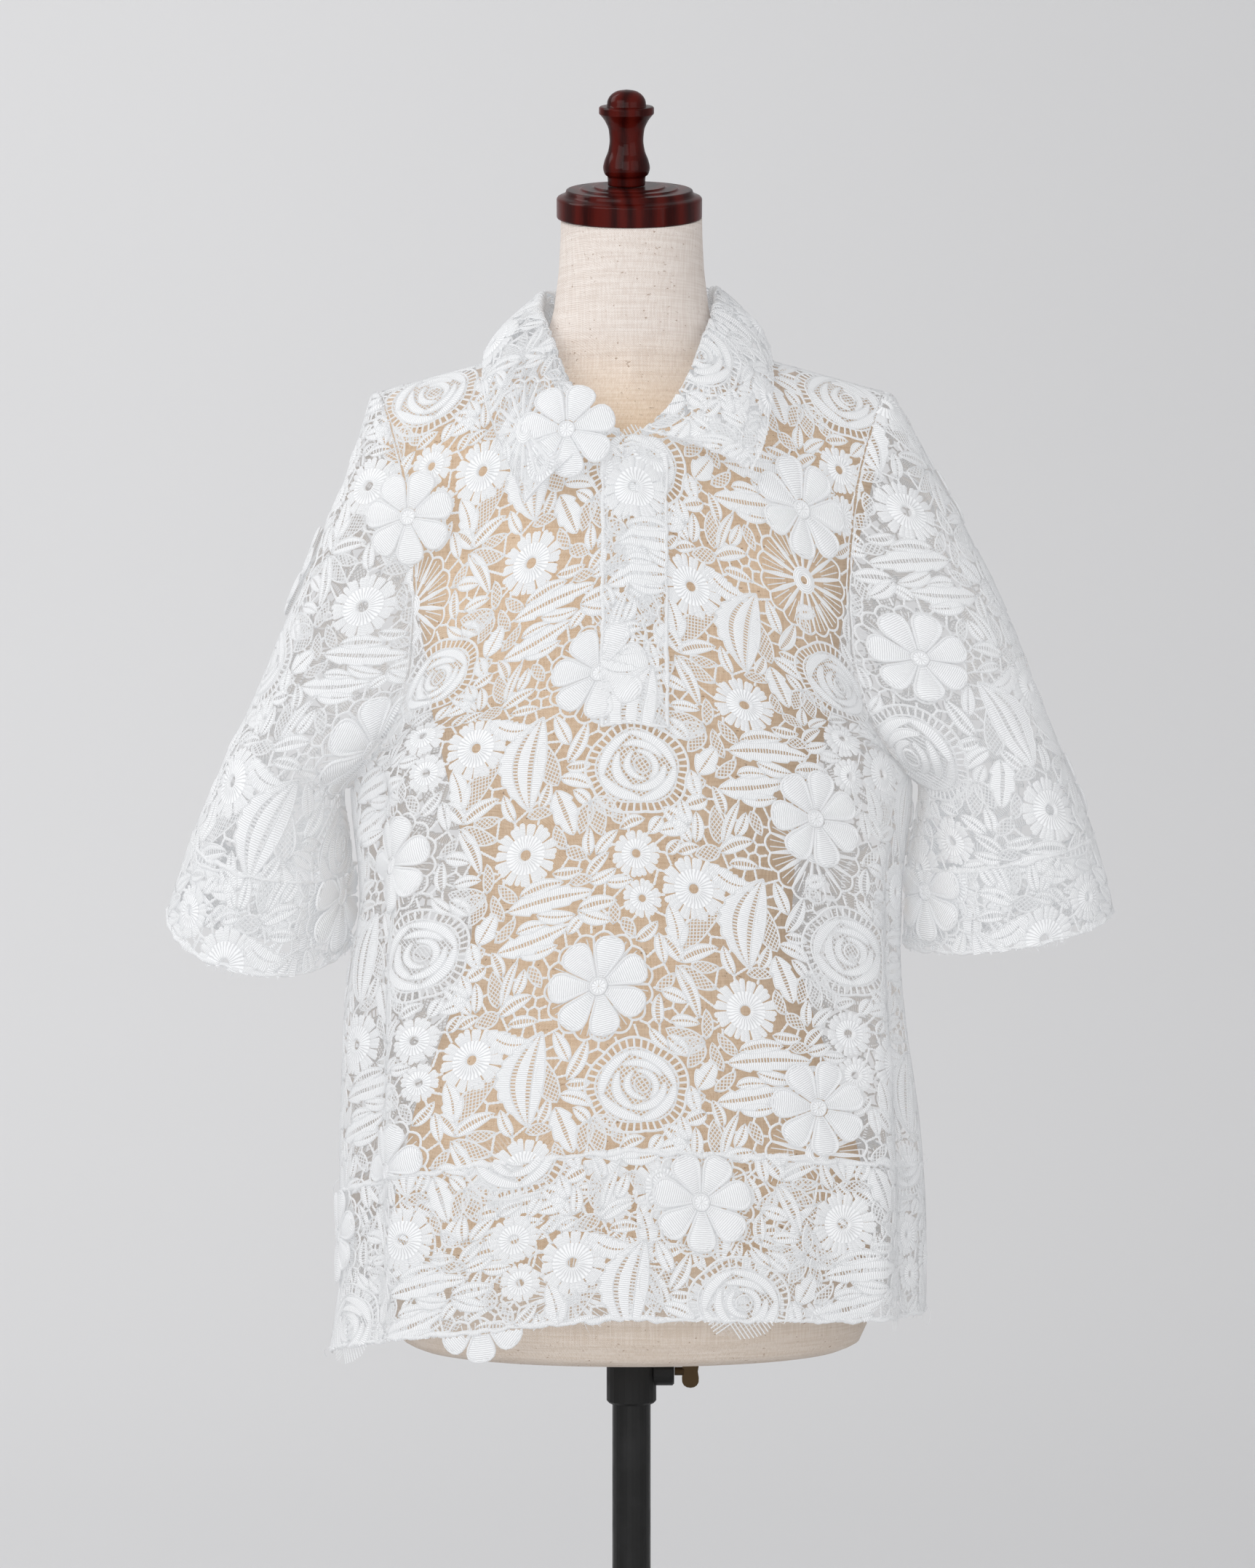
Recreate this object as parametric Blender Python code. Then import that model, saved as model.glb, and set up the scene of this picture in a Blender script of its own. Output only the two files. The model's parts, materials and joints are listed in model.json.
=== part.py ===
"""Short-sleeved lace shirt with a collar and half placket, shown on a limbless dress form.

The form stands on a round base: pole, height clamp, linen torso, turned wooden neck cap.
Lengths in this file are millimetres, and MM turns them into metres where a mesh is made.
X runs to the right of a viewer who faces the shirt's front, Y away from the viewer, Z up.
The origin is the floor under the pole.
"""
import math

import bpy
import numpy as np
from mathutils import Vector
from mathutils.geometry import delaunay_2d_cdt

for old_object in list(bpy.data.objects):
    bpy.data.objects.remove(old_object, do_unlink=True)

MM = 0.001

# Cloth
LACE_WALL = 2.2
BAND_WALL = 3.2
CUFF_WALL = 3.2
COLLAR_WALL = 2.4
PLACKET_WALL = 3.0
SEAM_GAP = 0.4
SHOULDER_GAP = 0.9
PLACKET_GAP = 0.7
FORM_CLEARANCE = 3.0
GRID = 31.0
HEM_BAND_DEPTH = 112.0
CUFF_DEPTH = 55.0
PLACKET = {"left": -20.0, "right": 24.0, "low": 397.0, "high": 592.0}

# Lace repeat: the two steps of its half-drop lattice, and where each piece's first disc flower sits
STEP_ACROSS = (150.0, 106.5)
STEP_UP = (0.0, 213.0)
LACE_START = {"front": (78.0, 212.0), "back": (20.0, 150.0), "sleeve_left": (94.0, 236.0),
              "sleeve_right": (70.0, 297.0)}
# The raised flowers that stand apart as pieces of their own
BLOOM_PLACES = {
    "front": [(-22.0, 223.5), (128.0, 352.0), (124.0, 590.0), (128.0, 149.0)],
    "back": [(70.0, 268.0), (70.0, 481.0), (-80.0, 374.0), (-80.0, 587.0)],
    "sleeve_left": [(-6.0, 247.5)],
    "sleeve_right": [(116.0, 200.0)],
}
BLOOM_RADIUS = 33.0
BLOOM_WAIST = 11.0
BLOOM_PETALS = 7
BLOOM_WALL = 1.6
BLOOM_GAP = 0.6
# Largest gaps between the motifs of one repeat: x, y, length, width, heading
GAP_SIDES = 6
GAP_ROWS = [
    (-21.5, 33.5, 12.5, 10.5, 60),
    (9.5, 100.0, 13.5, 11.0, 20),
    (-15.5, 20.0, 12.5, 9.0, 80),
    (38.0, 8.5, 14.0, 8.0, 80),
    (-29.0, 1.0, 12.0, 9.0, 0),
    (3.0, 113.0, 12.0, 8.5, 15),
    (16.0, 31.0, 11.5, 8.5, 75),
    (16.5, 84.5, 10.5, 8.5, 80),
    (18.5, 70.0, 10.5, 7.5, -40),
    (23.0, -62.0, 10.5, 7.5, 45),
    (-35.0, -101.0, 10.0, 8.5, 90),
]

# Dress form, a row for each level: half width, depth to the front and to the back, squareness
FORM_COLUMNS = "z wide front back square"
FORM_ROWS = [
    (721.0, 150.0, 102.0, 102.0, 2.1),
    (725.0, 160.0, 111.0, 111.0, 2.1),
    (738.0, 166.0, 117.0, 117.0, 2.1),
    (780.0, 168.0, 119.0, 119.0, 2.1),
    (830.0, 166.0, 117.0, 118.0, 2.1),
    (890.0, 152.0, 108.0, 108.0, 2.1),
    (950.0, 129.0, 96.0, 90.0, 2.1),
    (1010.0, 112.0, 89.0, 78.0, 2.1),
    (1060.0, 115.0, 93.0, 82.0, 2.1),
    (1110.0, 127.0, 104.0, 88.0, 2.15),
    (1165.0, 140.0, 115.0, 94.0, 2.2),
    (1220.0, 147.0, 108.0, 97.0, 2.2),
    (1275.0, 157.0, 93.0, 96.0, 2.2),
    (1320.0, 168.0, 76.0, 88.0, 2.1),
    (1352.0, 175.0, 66.0, 77.0, 1.95),
    (1375.0, 176.0, 57.0, 63.0, 1.6),
    (1391.1, 172.0, 51.0, 54.0, 1.25),
    (1398.0, 146.6, 50.0, 51.0, 1.15),
    (1405.0, 120.9, 49.5, 50.0, 1.15),
    (1412.0, 95.2, 49.5, 49.5, 1.25),
    (1418.3, 72.0, 50.0, 50.0, 1.6),
    (1430.0, 60.0, 51.0, 49.5, 2.0),
    (1450.0, 54.5, 52.5, 46.0, 2.0),
    (1477.0, 51.0, 56.0, 41.5, 2.0),
    (1499.0, 49.8, 59.5, 37.5, 2.0),
    (1513.0, 49.5, 62.0, 35.5, 2.0),
]
FORM_SIDES = 28
NECK_TILT_START = 1430.0
NECK_TILT = math.radians(17.0)
BORE_RADIUS = 14.2
BORE_TOP = 1078.0

# Stand
POLE_RADIUS = 13.5
POLE_LOW = 12.0
POLE_HIGH = 852.0
PLATE_RADIUS = 150.0
PLATE_THICK = 8.0
PLATE_BEVEL = 2.5
SOCKET_RADIUS = 21.0
SOCKET_HIGH = 62.0
CLAMP_RADIUS = 17.5
CLAMP_LOW = 680.0
CLAMP_HIGH = 720.6
CLAMP_BORE = 13.8
BOSS_RADIUS = 10.0
BOSS_END = 30.0
SCREW_Z = 702.0
SCREW_SHAFT_RADIUS = 3.0
SCREW_WING_START = 33.0
SCREW_WING_END = 50.0

# Front and back of the body. v is the height above the hem along the middle of the cloth.
# mid_*: the middle line. edge_*: side seam, then armhole. pull_*: how each end of a row starts.
BODY_COLUMNS = "v mid_y mid_z edge_x edge_x_left edge_y edge_z mid_pull pull_x pull_y"
FRONT_ROWS = [
    (0.0, -149.0, 760.0, 206.0, 211.0, 0.0, 747.0, 0.64, 0.0, -92.0),
    (62.0, -148.0, 822.0, 206.0, 204.0, 0.0, 803.0, 0.64, 0.0, -92.0),
    (125.0, -146.0, 885.0, 203.0, 204.0, 0.0, 860.0, 0.64, 0.0, -90.0),
    (225.0, -142.0, 985.0, 192.0, 202.0, 0.0, 950.0, 0.64, 0.0, -88.0),
    (275.0, -139.5, 1035.0, 188.0, 196.0, 0.0, 995.0, 0.64, 0.0, -86.0),
    (325.0, -136.0, 1085.0, 189.0, 190.0, 0.0, 1040.0, 0.64, 0.0, -84.0),
    (408.0, -129.0, 1168.0, 197.0, 197.0, 0.0, 1115.0, 0.60, -8.0, -76.0),
    (434.0, -126.5, 1193.0, 178.0, 178.0, -50.0, 1136.0, 0.50, -14.0, -40.0),
    (469.0, -121.5, 1228.0, 160.0, 160.0, -69.0, 1166.0, 0.45, -28.0, -36.0),
    (510.0, -115.0, 1268.0, 150.0, 150.0, -72.0, 1205.0, 0.45, -36.0, -33.0),
    (554.0, -104.0, 1311.0, 148.0, 148.0, -69.0, 1250.0, 0.45, -38.0, -28.0),
    (597.0, -90.0, 1352.0, 151.0, 151.0, -62.0, 1293.0, 0.42, -38.0, -22.0),
    (625.0, -78.5, 1379.0, 155.0, 155.0, -56.0, 1322.0, 0.40, -40.0, -17.0),
    (661.0, -60.0, 1409.5, 163.0, 163.0, -45.0, 1354.0, 0.38, -45.0, -12.0),
    (688.0, -40.5, 1428.0, 170.0, 170.0, -32.0, 1375.5, 0.36, -50.0, -7.0),
    (710.0, -20.5, 1438.2, 175.0, 175.0, -16.0, 1388.5, 0.34, -55.0, -3.0),
    (731.0, 0.0, 1439.9, 178.0, 178.0, 0.0, 1391.5, 0.333, -59.3, 0.0),
]
BACK_ROWS = [
    (0.0, 144.0, 748.0, 206.0, 211.0, 0.0, 747.0, 0.60, 0.0, 86.0),
    (62.0, 143.0, 810.0, 206.0, 204.0, 0.0, 803.0, 0.60, 0.0, 86.0),
    (125.0, 141.0, 873.0, 203.0, 204.0, 0.0, 860.0, 0.60, 0.0, 85.0),
    (225.0, 135.0, 973.0, 192.0, 202.0, 0.0, 950.0, 0.60, 0.0, 82.0),
    (275.0, 131.0, 1022.0, 188.0, 196.0, 0.0, 995.0, 0.60, 0.0, 79.0),
    (325.0, 127.0, 1072.0, 189.0, 190.0, 0.0, 1040.0, 0.60, 0.0, 76.0),
    (408.0, 120.0, 1153.0, 197.0, 197.0, 0.0, 1115.0, 0.58, 0.0, 70.0),
    (437.0, 117.0, 1182.0, 179.0, 179.0, 54.0, 1138.0, 0.50, -14.0, 42.0),
    (477.0, 112.5, 1222.0, 164.0, 164.0, 74.0, 1169.0, 0.45, -27.0, 34.0),
    (524.0, 106.5, 1268.0, 157.0, 157.0, 79.0, 1212.0, 0.45, -36.0, 27.0),
    (572.0, 98.0, 1316.0, 156.0, 156.0, 75.0, 1260.0, 0.43, -38.0, 20.0),
    (610.0, 90.0, 1352.0, 159.0, 159.0, 67.0, 1298.0, 0.42, -40.0, 15.0),
    (644.0, 82.0, 1385.0, 164.0, 164.0, 56.0, 1331.0, 0.40, -44.0, 12.0),
    (675.0, 67.0, 1412.5, 169.0, 169.0, 44.0, 1359.5, 0.38, -48.0, 8.0),
    (702.0, 46.5, 1430.5, 173.5, 173.5, 30.0, 1378.5, 0.36, -52.0, 5.0),
    (727.0, 22.0, 1438.7, 176.5, 176.5, 14.0, 1389.5, 0.34, -56.0, 2.0),
    (749.0, 0.0, 1439.9, 178.0, 178.0, 0.0, 1391.5, 0.333, -59.3, 0.0),
]
LEFT_HEM_DROP = 31.0
DROP_TOP = 400.0

# Soft upright folds of the body: place across, half width, rise (or dip), and where each starts and ends
FRONT_FOLDS = [
    (-158.0, 24.0, 9.0, -60.0, 470.0),
    (-196.0, 20.0, -9.0, -60.0, 430.0),
    (-112.0, 30.0, 7.0, -90.0, 190.0),
    (178.0, 22.0, 8.0, -60.0, 385.0),
    (214.0, 18.0, -6.0, -60.0, 350.0),
    (60.0, 34.0, -3.0, -60.0, 300.0),
]
BACK_FOLDS = [
    (-165.0, 26.0, 8.0, -60.0, 440.0),
    (-120.0, 24.0, -6.0, -60.0, 420.0),
    (-30.0, 30.0, -7.0, -60.0, 380.0),
    (70.0, 30.0, 6.0, -60.0, 430.0),
    (185.0, 24.0, 8.0, -60.0, 420.0),
    (222.0, 18.0, -6.0, -60.0, 380.0),
]

# Neck seam in the flat pieces: place across, and height below the shoulder seam
FRONT_NECK = [(0.0, 132.0), (22.0, 128.0), (41.0, 112.0), (56.0, 90.0), (67.0, 63.0), (73.0, 36.0),
              (76.5, 16.0), (77.5, 0.0)]
BACK_NECK = [(0.0, 66.0), (24.0, 62.0), (46.0, 50.0), (63.0, 33.0), (73.0, 15.0), (77.5, 0.0)]

# Sleeves. v is the height above the cuff's edge along the outer line.
# top_*: outer line. edge_*: underarm seam, then armhole. The pulls shape each row between them.
SLEEVE_COLUMNS = "v top_x top_z edge_x edge_y edge_z top_pull top_dip pull_x pull_y pull_z"
SLEEVE_FRONT_ROWS = [
    (0.0, 338.0, 1028.0, 192.5, 0.0, 1003.0, 86.0, -14.0, 22.0, -86.0, -16.0),
    (55.0, 324.0, 1082.0, 194.5, 0.0, 1058.0, 92.0, -12.0, 14.0, -94.0, -12.0),
    (112.0, 302.0, 1138.0, 203.2, 0.0, 1115.0, 92.0, -9.0, 9.0, -94.0, -8.0),
    (135.0, 293.0, 1161.0, 184.6, -50.5, 1135.0, 78.0, -8.0, 15.0, -42.0, -6.0),
    (160.0, 284.0, 1184.0, 162.6, -70.0, 1166.0, 70.0, -6.0, 30.0, -26.0, -8.0),
    (205.0, 268.0, 1226.0, 152.2, -72.8, 1205.0, 62.0, -4.0, 40.0, -15.0, -6.0),
    (250.0, 248.0, 1269.0, 149.8, -69.5, 1250.0, 54.0, -2.0, 37.0, -9.0, -3.0),
    (290.0, 229.0, 1305.0, 152.7, -62.3, 1293.0, 45.0, 0.0, 30.0, -6.0, 0.0),
    (318.0, 215.0, 1331.0, 156.7, -56.2, 1321.5, 38.0, 0.0, 24.0, -5.0, 0.0),
    (350.0, 200.5, 1359.0, 164.7, -45.2, 1354.0, 28.0, 0.0, 16.0, -5.0, 0.0),
    (372.0, 191.0, 1376.5, 171.7, -32.2, 1375.5, 19.0, 0.0, 9.0, -4.0, 0.0),
    (388.0, 184.5, 1387.5, 176.6, -16.1, 1388.5, 9.0, 0.0, 4.0, -3.0, 0.0),
    (400.0, 179.6, 1391.5, 179.6, 0.0, 1391.5, 0.5, 0.0, 0.0, -0.5, 0.0),
]
SLEEVE_BACK_ROWS = [
    (0.0, 338.0, 1028.0, 192.5, 0.0, 1003.0, 80.0, -16.0, 26.0, -82.0, -8.0),
    (55.0, 324.0, 1082.0, 194.5, 0.0, 1058.0, 88.0, -14.0, 16.0, -92.0, -8.0),
    (112.0, 302.0, 1138.0, 203.2, 0.0, 1115.0, 92.0, -10.0, 9.0, -96.0, -6.0),
    (135.0, 293.0, 1161.0, 182.8, -54.5, 1138.0, 80.0, -8.0, 12.0, -42.0, -6.0),
    (160.0, 284.0, 1184.0, 166.6, -75.0, 1169.0, 74.0, -6.0, 30.0, -24.0, -8.0),
    (205.0, 268.0, 1226.0, 159.2, -79.8, 1212.0, 68.0, -4.0, 38.0, -13.0, -6.0),
    (250.0, 248.0, 1269.0, 157.8, -75.5, 1260.0, 60.0, -2.0, 35.0, -8.0, -3.0),
    (290.0, 229.0, 1305.0, 160.7, -67.3, 1298.0, 50.0, 0.0, 28.0, -6.0, 0.0),
    (318.0, 215.0, 1331.0, 165.7, -56.2, 1331.0, 40.0, 0.0, 22.0, -5.0, 0.0),
    (350.0, 200.5, 1359.0, 170.7, -44.2, 1359.5, 29.0, 0.0, 14.0, -5.0, 0.0),
    (372.0, 191.0, 1376.5, 175.2, -30.2, 1378.5, 18.0, 0.0, 8.0, -4.0, 0.0),
    (388.0, 184.5, 1387.5, 178.2, -14.1, 1389.5, 8.0, 0.0, 3.0, -3.0, 0.0),
    (400.0, 179.6, 1391.5, 179.6, 0.0, 1391.5, 0.5, 0.0, 0.0, -0.5, 0.0),
]
SLEEVE_LENGTH = 400.0
UNDERARM_V = 112.0
LEFT_HOLLOW = 24.0
LEFT_CUFF_DIP = 24.0
LEFT_CUFF_INNER = 5.5

# Collar, a row for each section from the left front end round the back to the right front end.
# seam_*: lower edge of the stand. roll_*: top of the roll. fall_*: outer edge of the turned-down part.
COLLAR_COLUMNS = "s seam_x seam_y seam_z roll_x roll_y roll_z fall_x fall_y fall_z"
COLLAR_ROWS = [
    (0.0, -8.0, -93.0, 1353.0, -9.0, -97.5, 1355.5, -72.0, -123.0, 1304.0),
    (1.0, -25.0, -86.5, 1360.0, -27.0, -88.0, 1370.0, -79.0, -114.0, 1321.0),
    (2.0, -48.0, -70.0, 1380.0, -47.0, -69.0, 1398.0, -91.0, -95.0, 1351.0),
    (3.0, -60.0, -45.0, 1408.0, -57.0, -43.0, 1428.0, -103.0, -57.0, 1393.0),
    (4.0, -70.0, -8.0, 1424.5, -65.0, -9.0, 1450.0, -102.0, -7.0, 1420.5),
    (5.0, -65.0, 25.0, 1424.5, -64.0, 24.0, 1464.0, -85.0, 42.0, 1429.0),
    (6.0, -37.0, 50.0, 1421.0, -38.0, 50.0, 1469.0, -47.0, 78.0, 1424.0),
    (7.0, 0.0, 60.0, 1419.0, 0.0, 60.0, 1471.0, 0.0, 88.0, 1420.0),
    (8.0, 37.0, 50.0, 1421.0, 37.0, 50.0, 1471.0, 46.0, 78.0, 1427.0),
    (9.0, 65.0, 25.0, 1424.5, 61.0, 24.0, 1468.0, 82.0, 41.0, 1436.0),
    (10.0, 70.0, -8.0, 1424.5, 60.0, -9.0, 1454.0, 95.0, -8.0, 1425.5),
    (11.0, 60.0, -45.0, 1408.0, 53.0, -43.0, 1430.0, 98.0, -53.0, 1397.0),
    (12.0, 48.0, -70.0, 1380.0, 42.0, -69.0, 1399.0, 93.0, -89.0, 1361.0),
    (13.0, 25.0, -86.5, 1360.0, 24.0, -88.0, 1370.5, 88.0, -107.0, 1341.0),
    (14.0, 8.0, -93.0, 1353.0, 7.0, -97.5, 1355.5, 81.0, -116.0, 1326.0),
]
COLLAR_SECTIONS = 30
COLLAR_FOLD = 1.8

ARC_SAMPLES = 25


def table(names, rows):
    """The rows as one array for each named column."""
    return {name: np.array([row[i] for row in rows], float) for i, name in enumerate(names.split())}


def smooth(place, places, values):
    """Cubic reading of a table column that never overshoots its rows."""
    place = min(max(place, places[0]), places[-1])
    gaps = np.diff(places)
    slopes = np.diff(values) / gaps
    tangents = np.zeros(len(values))
    tangents[0] = slopes[0]
    tangents[-1] = slopes[-1]
    for i in range(1, len(slopes)):
        if slopes[i - 1] * slopes[i] > 0:
            tangents[i] = 2 * slopes[i - 1] * slopes[i] / (slopes[i - 1] + slopes[i])
    i = min(int(np.searchsorted(places, place, side="right")) - 1, len(gaps) - 1)
    t = (place - places[i]) / gaps[i]
    start = (2 * t ** 3 - 3 * t ** 2 + 1) * values[i] + (t ** 3 - 2 * t ** 2 + t) * gaps[i] * tangents[i]
    end = (3 * t ** 2 - 2 * t ** 3) * values[i + 1] + (t ** 3 - t ** 2) * gaps[i] * tangents[i + 1]
    return float(start + end)


def read(columns, key, place, names):
    return [smooth(place, columns[key], columns[name]) for name in names.split()]


FORM = table(FORM_COLUMNS, FORM_ROWS)


def form_depth(x, z, back):
    """How far the dress form reaches in front of or behind the pole's axis at this place."""
    if z < FORM["z"][0] or z > NECK_TILT_START:
        return 0.0
    wide, front, behind, square = [float(np.interp(z, FORM["z"], FORM[name]))
                                   for name in ("wide", "front", "back", "square")]
    if abs(x) >= wide:
        return 0.0
    return (behind if back else front) * (1 - (abs(x) / wide) ** square) ** (1 / square)


def row_curve(corners, t):
    """Point on the curve from a row's middle (t=0) to its edge (t=1)."""
    t = np.asarray(t, float).reshape(-1, 1)
    a, b, c, d = corners
    return (1 - t) ** 3 * a + 3 * (1 - t) ** 2 * t * b + 3 * (1 - t) * t ** 2 * c + t ** 3 * d


def along_row(corners, distance):
    """Point at this arc length from the row's middle, going straight on past the edge."""
    steps = np.linspace(0, 1, ARC_SAMPLES)
    points = row_curve(corners, steps)
    lengths = np.concatenate([[0], np.cumsum(np.linalg.norm(np.diff(points, axis=0), axis=1))])
    if distance > lengths[-1]:
        direction = points[-1] - points[-2]
        size = np.linalg.norm(direction)
        return points[-1] + direction / size * (distance - lengths[-1]), 1.0
    share = float(np.interp(distance, lengths, steps))
    return row_curve(corners, [share])[0], distance / max(lengths[-1], 1e-6)


def row_length(corners):
    points = row_curve(corners, np.linspace(0, 1, ARC_SAMPLES))
    return float(np.linalg.norm(np.diff(points, axis=0), axis=1).sum())


def fold_rise(folds, u, v):
    rise = 0.0
    for place, half_width, height, low, high in folds:
        run = (v - low) / (high - low)
        if 0 < run < 1:
            rise += height * math.exp(-((u - place) / half_width) ** 2) * math.sin(math.pi * run) ** 0.5
    return rise


class BodySheet:
    """Front or back of the body as a flat piece (u, v) laid on its worn shape."""

    def __init__(self, rows, folds, back):
        self.columns = table(BODY_COLUMNS, rows)
        self.folds = folds
        self.back = back
        self.top = rows[-1][0]

    def corners(self, v, left):
        mid_y, mid_z, edge_y, edge_z, mid_pull, pull_x, pull_y = read(
            self.columns, "v", v, "mid_y mid_z edge_y edge_z mid_pull pull_x pull_y")
        edge_x = smooth(v, self.columns["v"], self.columns["edge_x_left" if left else "edge_x"])
        rise = edge_z - mid_z
        return np.array([
            (0, mid_y, mid_z),
            (mid_pull * edge_x, mid_y, mid_z + rise / 3),
            (edge_x + pull_x, edge_y + pull_y, mid_z + rise * 2 / 3),
            (edge_x, edge_y, edge_z),
        ])

    def width(self, v, left):
        return row_length(self.corners(v, left))

    def point(self, u, v):
        left = u < 0
        spot, share = along_row(self.corners(v, left), abs(u))
        x, y, z = spot
        if left:
            x = -x
            z -= LEFT_HEM_DROP * share ** 1.5 * max(0.0, 1 - v / DROP_TOP)
        if v < 0:
            z += v
        reach = math.hypot(x, y)
        fade = min(1.0, max(0.0, (1 - share) * 6))
        rise = fold_rise(self.folds, u, v) * fade * fade * (3 - 2 * fade)
        x += x / reach * rise
        y += y / reach * rise
        depth = form_depth(x, z, self.back)
        needed = depth + min(1.0, depth / 20) * (FORM_CLEARANCE + LACE_WALL / 2)
        if abs(y) < needed:
            y = needed if self.back else -needed
        return Vector((x, y, z))

    def normal(self, u, v):
        step = 2.0
        across = self.point(u + step, v) - self.point(u - step, v)
        low = max(v - step, 0)
        high = min(v + step, self.top)
        up = self.point(u, high) - self.point(u, low)
        outward = across.cross(up)
        if self.back:
            outward.negate()
        return outward.normalized()


class SleeveSheet:
    """One sleeve as a flat piece: u is positive towards the front, and v rises from the cuff."""

    def __init__(self, left):
        self.front = table(SLEEVE_COLUMNS, SLEEVE_FRONT_ROWS)
        self.rear = table(SLEEVE_COLUMNS, SLEEVE_BACK_ROWS)
        self.left = left
        self.top = SLEEVE_LENGTH

    def corners(self, v, back):
        columns = self.rear if back else self.front
        top_x, top_z, edge_x, edge_y, edge_z, top_pull, top_dip, pull_x, pull_y, pull_z = read(
            columns, "v", v, "top_x top_z edge_x edge_y edge_z top_pull top_dip pull_x pull_y pull_z")
        if self.left:
            low = max(0.0, 1 - v / UNDERARM_V)
            top_x -= LEFT_HOLLOW * math.sin(math.pi * min(v / SLEEVE_LENGTH, 1.0)) + 12 * low
            edge_x += LEFT_CUFF_INNER * low
            if not back:
                top_dip -= LEFT_CUFF_DIP * low
                pull_z -= LEFT_CUFF_DIP * low
        return np.array([
            (top_x, 0, top_z),
            (top_x, -top_pull, top_z + top_dip),
            (edge_x + pull_x, edge_y + pull_y, edge_z + pull_z),
            (edge_x, edge_y, edge_z),
        ])

    def width(self, v, back):
        return row_length(self.corners(v, back))

    def point(self, u, v):
        back = u < 0
        held = min(max(v, 0.0), self.top)
        spot, share = along_row(self.corners(held, back), abs(u))
        x, y, z = spot
        ripple = 5.0 * math.sin(math.pi * min(max(v / 300, 0), 1)) * math.sin(math.pi * 2 * share)
        y -= ripple * min(1.0, abs(u) / 30)
        z += v - held
        if back:
            y = -y
        if self.left:
            x = -x
        return Vector((x, y, z))

    def normal(self, u, v):
        step = 2.0
        across = self.point(u + step, v) - self.point(u - step, v)
        low = max(v - step, 0)
        high = min(v + step, self.top)
        outward = (self.point(u, high) - self.point(u, low)).cross(across)
        if self.left:
            outward.negate()
        return outward.normalized()


def material(name, colour, roughness, metallic=0.0):
    made = bpy.data.materials.get(name)
    if made:
        return made
    made = bpy.data.materials.new(name)
    made.use_nodes = True
    shader = made.node_tree.nodes["Principled BSDF"]
    shader.inputs["Base Color"].default_value = (*colour, 1.0)
    shader.inputs["Roughness"].default_value = roughness
    shader.inputs["Metallic"].default_value = metallic
    return made


def add_object(name, points, faces, look, round_edges=True):
    """An object from points in millimetres, with its faces turned outwards."""
    mesh = bpy.data.meshes.new(name)
    mesh.from_pydata([Vector(p) * MM for p in points], [], faces)
    mesh.update()
    volume = sum(mesh.vertices[f.vertices[0]].co.dot(
        mesh.vertices[f.vertices[i]].co.cross(mesh.vertices[f.vertices[i + 1]].co))
        for f in mesh.polygons for i in range(1, len(f.vertices) - 1))
    if volume < 0:
        mesh.flip_normals()
    if round_edges:
        mesh.shade_smooth()
        mesh.set_sharp_from_angle(angle=math.radians(40))
    made = bpy.data.objects.new(name, mesh)
    made.data.materials.append(look)
    bpy.context.collection.objects.link(made)
    return made


def inside(x, y, loop):
    hit = False
    for i in range(len(loop)):
        ax, ay = loop[i - 1]
        bx, by = loop[i]
        if (ay > y) != (by > y) and x < (bx - ax) * (y - ay) / (by - ay) + ax:
            hit = not hit
    return hit


def loop_distance(x, y, loop):
    spot = Vector((x, y))
    best = 1e9
    for i in range(len(loop)):
        a = Vector(loop[i - 1])
        b = Vector(loop[i])
        side = b - a
        share = min(max((spot - a).dot(side) / max(side.length_squared, 1e-9), 0), 1)
        best = min(best, (spot - a - side * share).length)
    return best


def resample(line, spacing):
    """The open line with its corners kept and points added at about this spacing."""
    points = [line[0]]
    for a, b in zip(line, line[1:]):
        count = max(1, round(math.dist(a, b) / spacing))
        for k in range(1, count + 1):
            points.append((a[0] + (b[0] - a[0]) * k / count, a[1] + (b[1] - a[1]) * k / count))
    return points


def lattice_places(origin, place, low, high):
    """Where one part of the lace repeat falls inside a flat rectangle."""
    found = []
    for across in range(-6, 7):
        for up in range(-8, 9):
            x = origin[0] + place[0] + across * STEP_ACROSS[0] + up * STEP_UP[0]
            y = origin[1] + place[1] + across * STEP_ACROSS[1] + up * STEP_UP[1]
            if low[0] < x < high[0] and low[1] < y < high[1]:
                found.append((x, y))
    return found


def gap_loops(origin, outline, keep_clear):
    """The lace gaps that fall well inside the outline, as small rounded polygons."""
    low = (min(p[0] for p in outline), min(p[1] for p in outline))
    high = (max(p[0] for p in outline), max(p[1] for p in outline))
    loops = []
    for x, y, length, width, heading in GAP_ROWS:
        turn = math.radians(heading)
        for cx, cy in lattice_places(origin, (x, y), low, high):
            if not inside(cx, cy, outline) or loop_distance(cx, cy, outline) < length / 2 + 6:
                continue
            near = length / 2 + 4
            if any(inside(cx, cy, zone) or loop_distance(cx, cy, zone) < near for zone in keep_clear):
                continue
            loop = []
            for k in range(GAP_SIDES):
                angle = 2 * math.pi * k / GAP_SIDES
                a = math.cos(angle) * length / 2
                b = math.sin(angle) * width / 2
                loop.append((cx + a * math.cos(turn) - b * math.sin(turn),
                             cy + a * math.sin(turn) + b * math.cos(turn)))
            loops.append(loop)
    return loops


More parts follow.
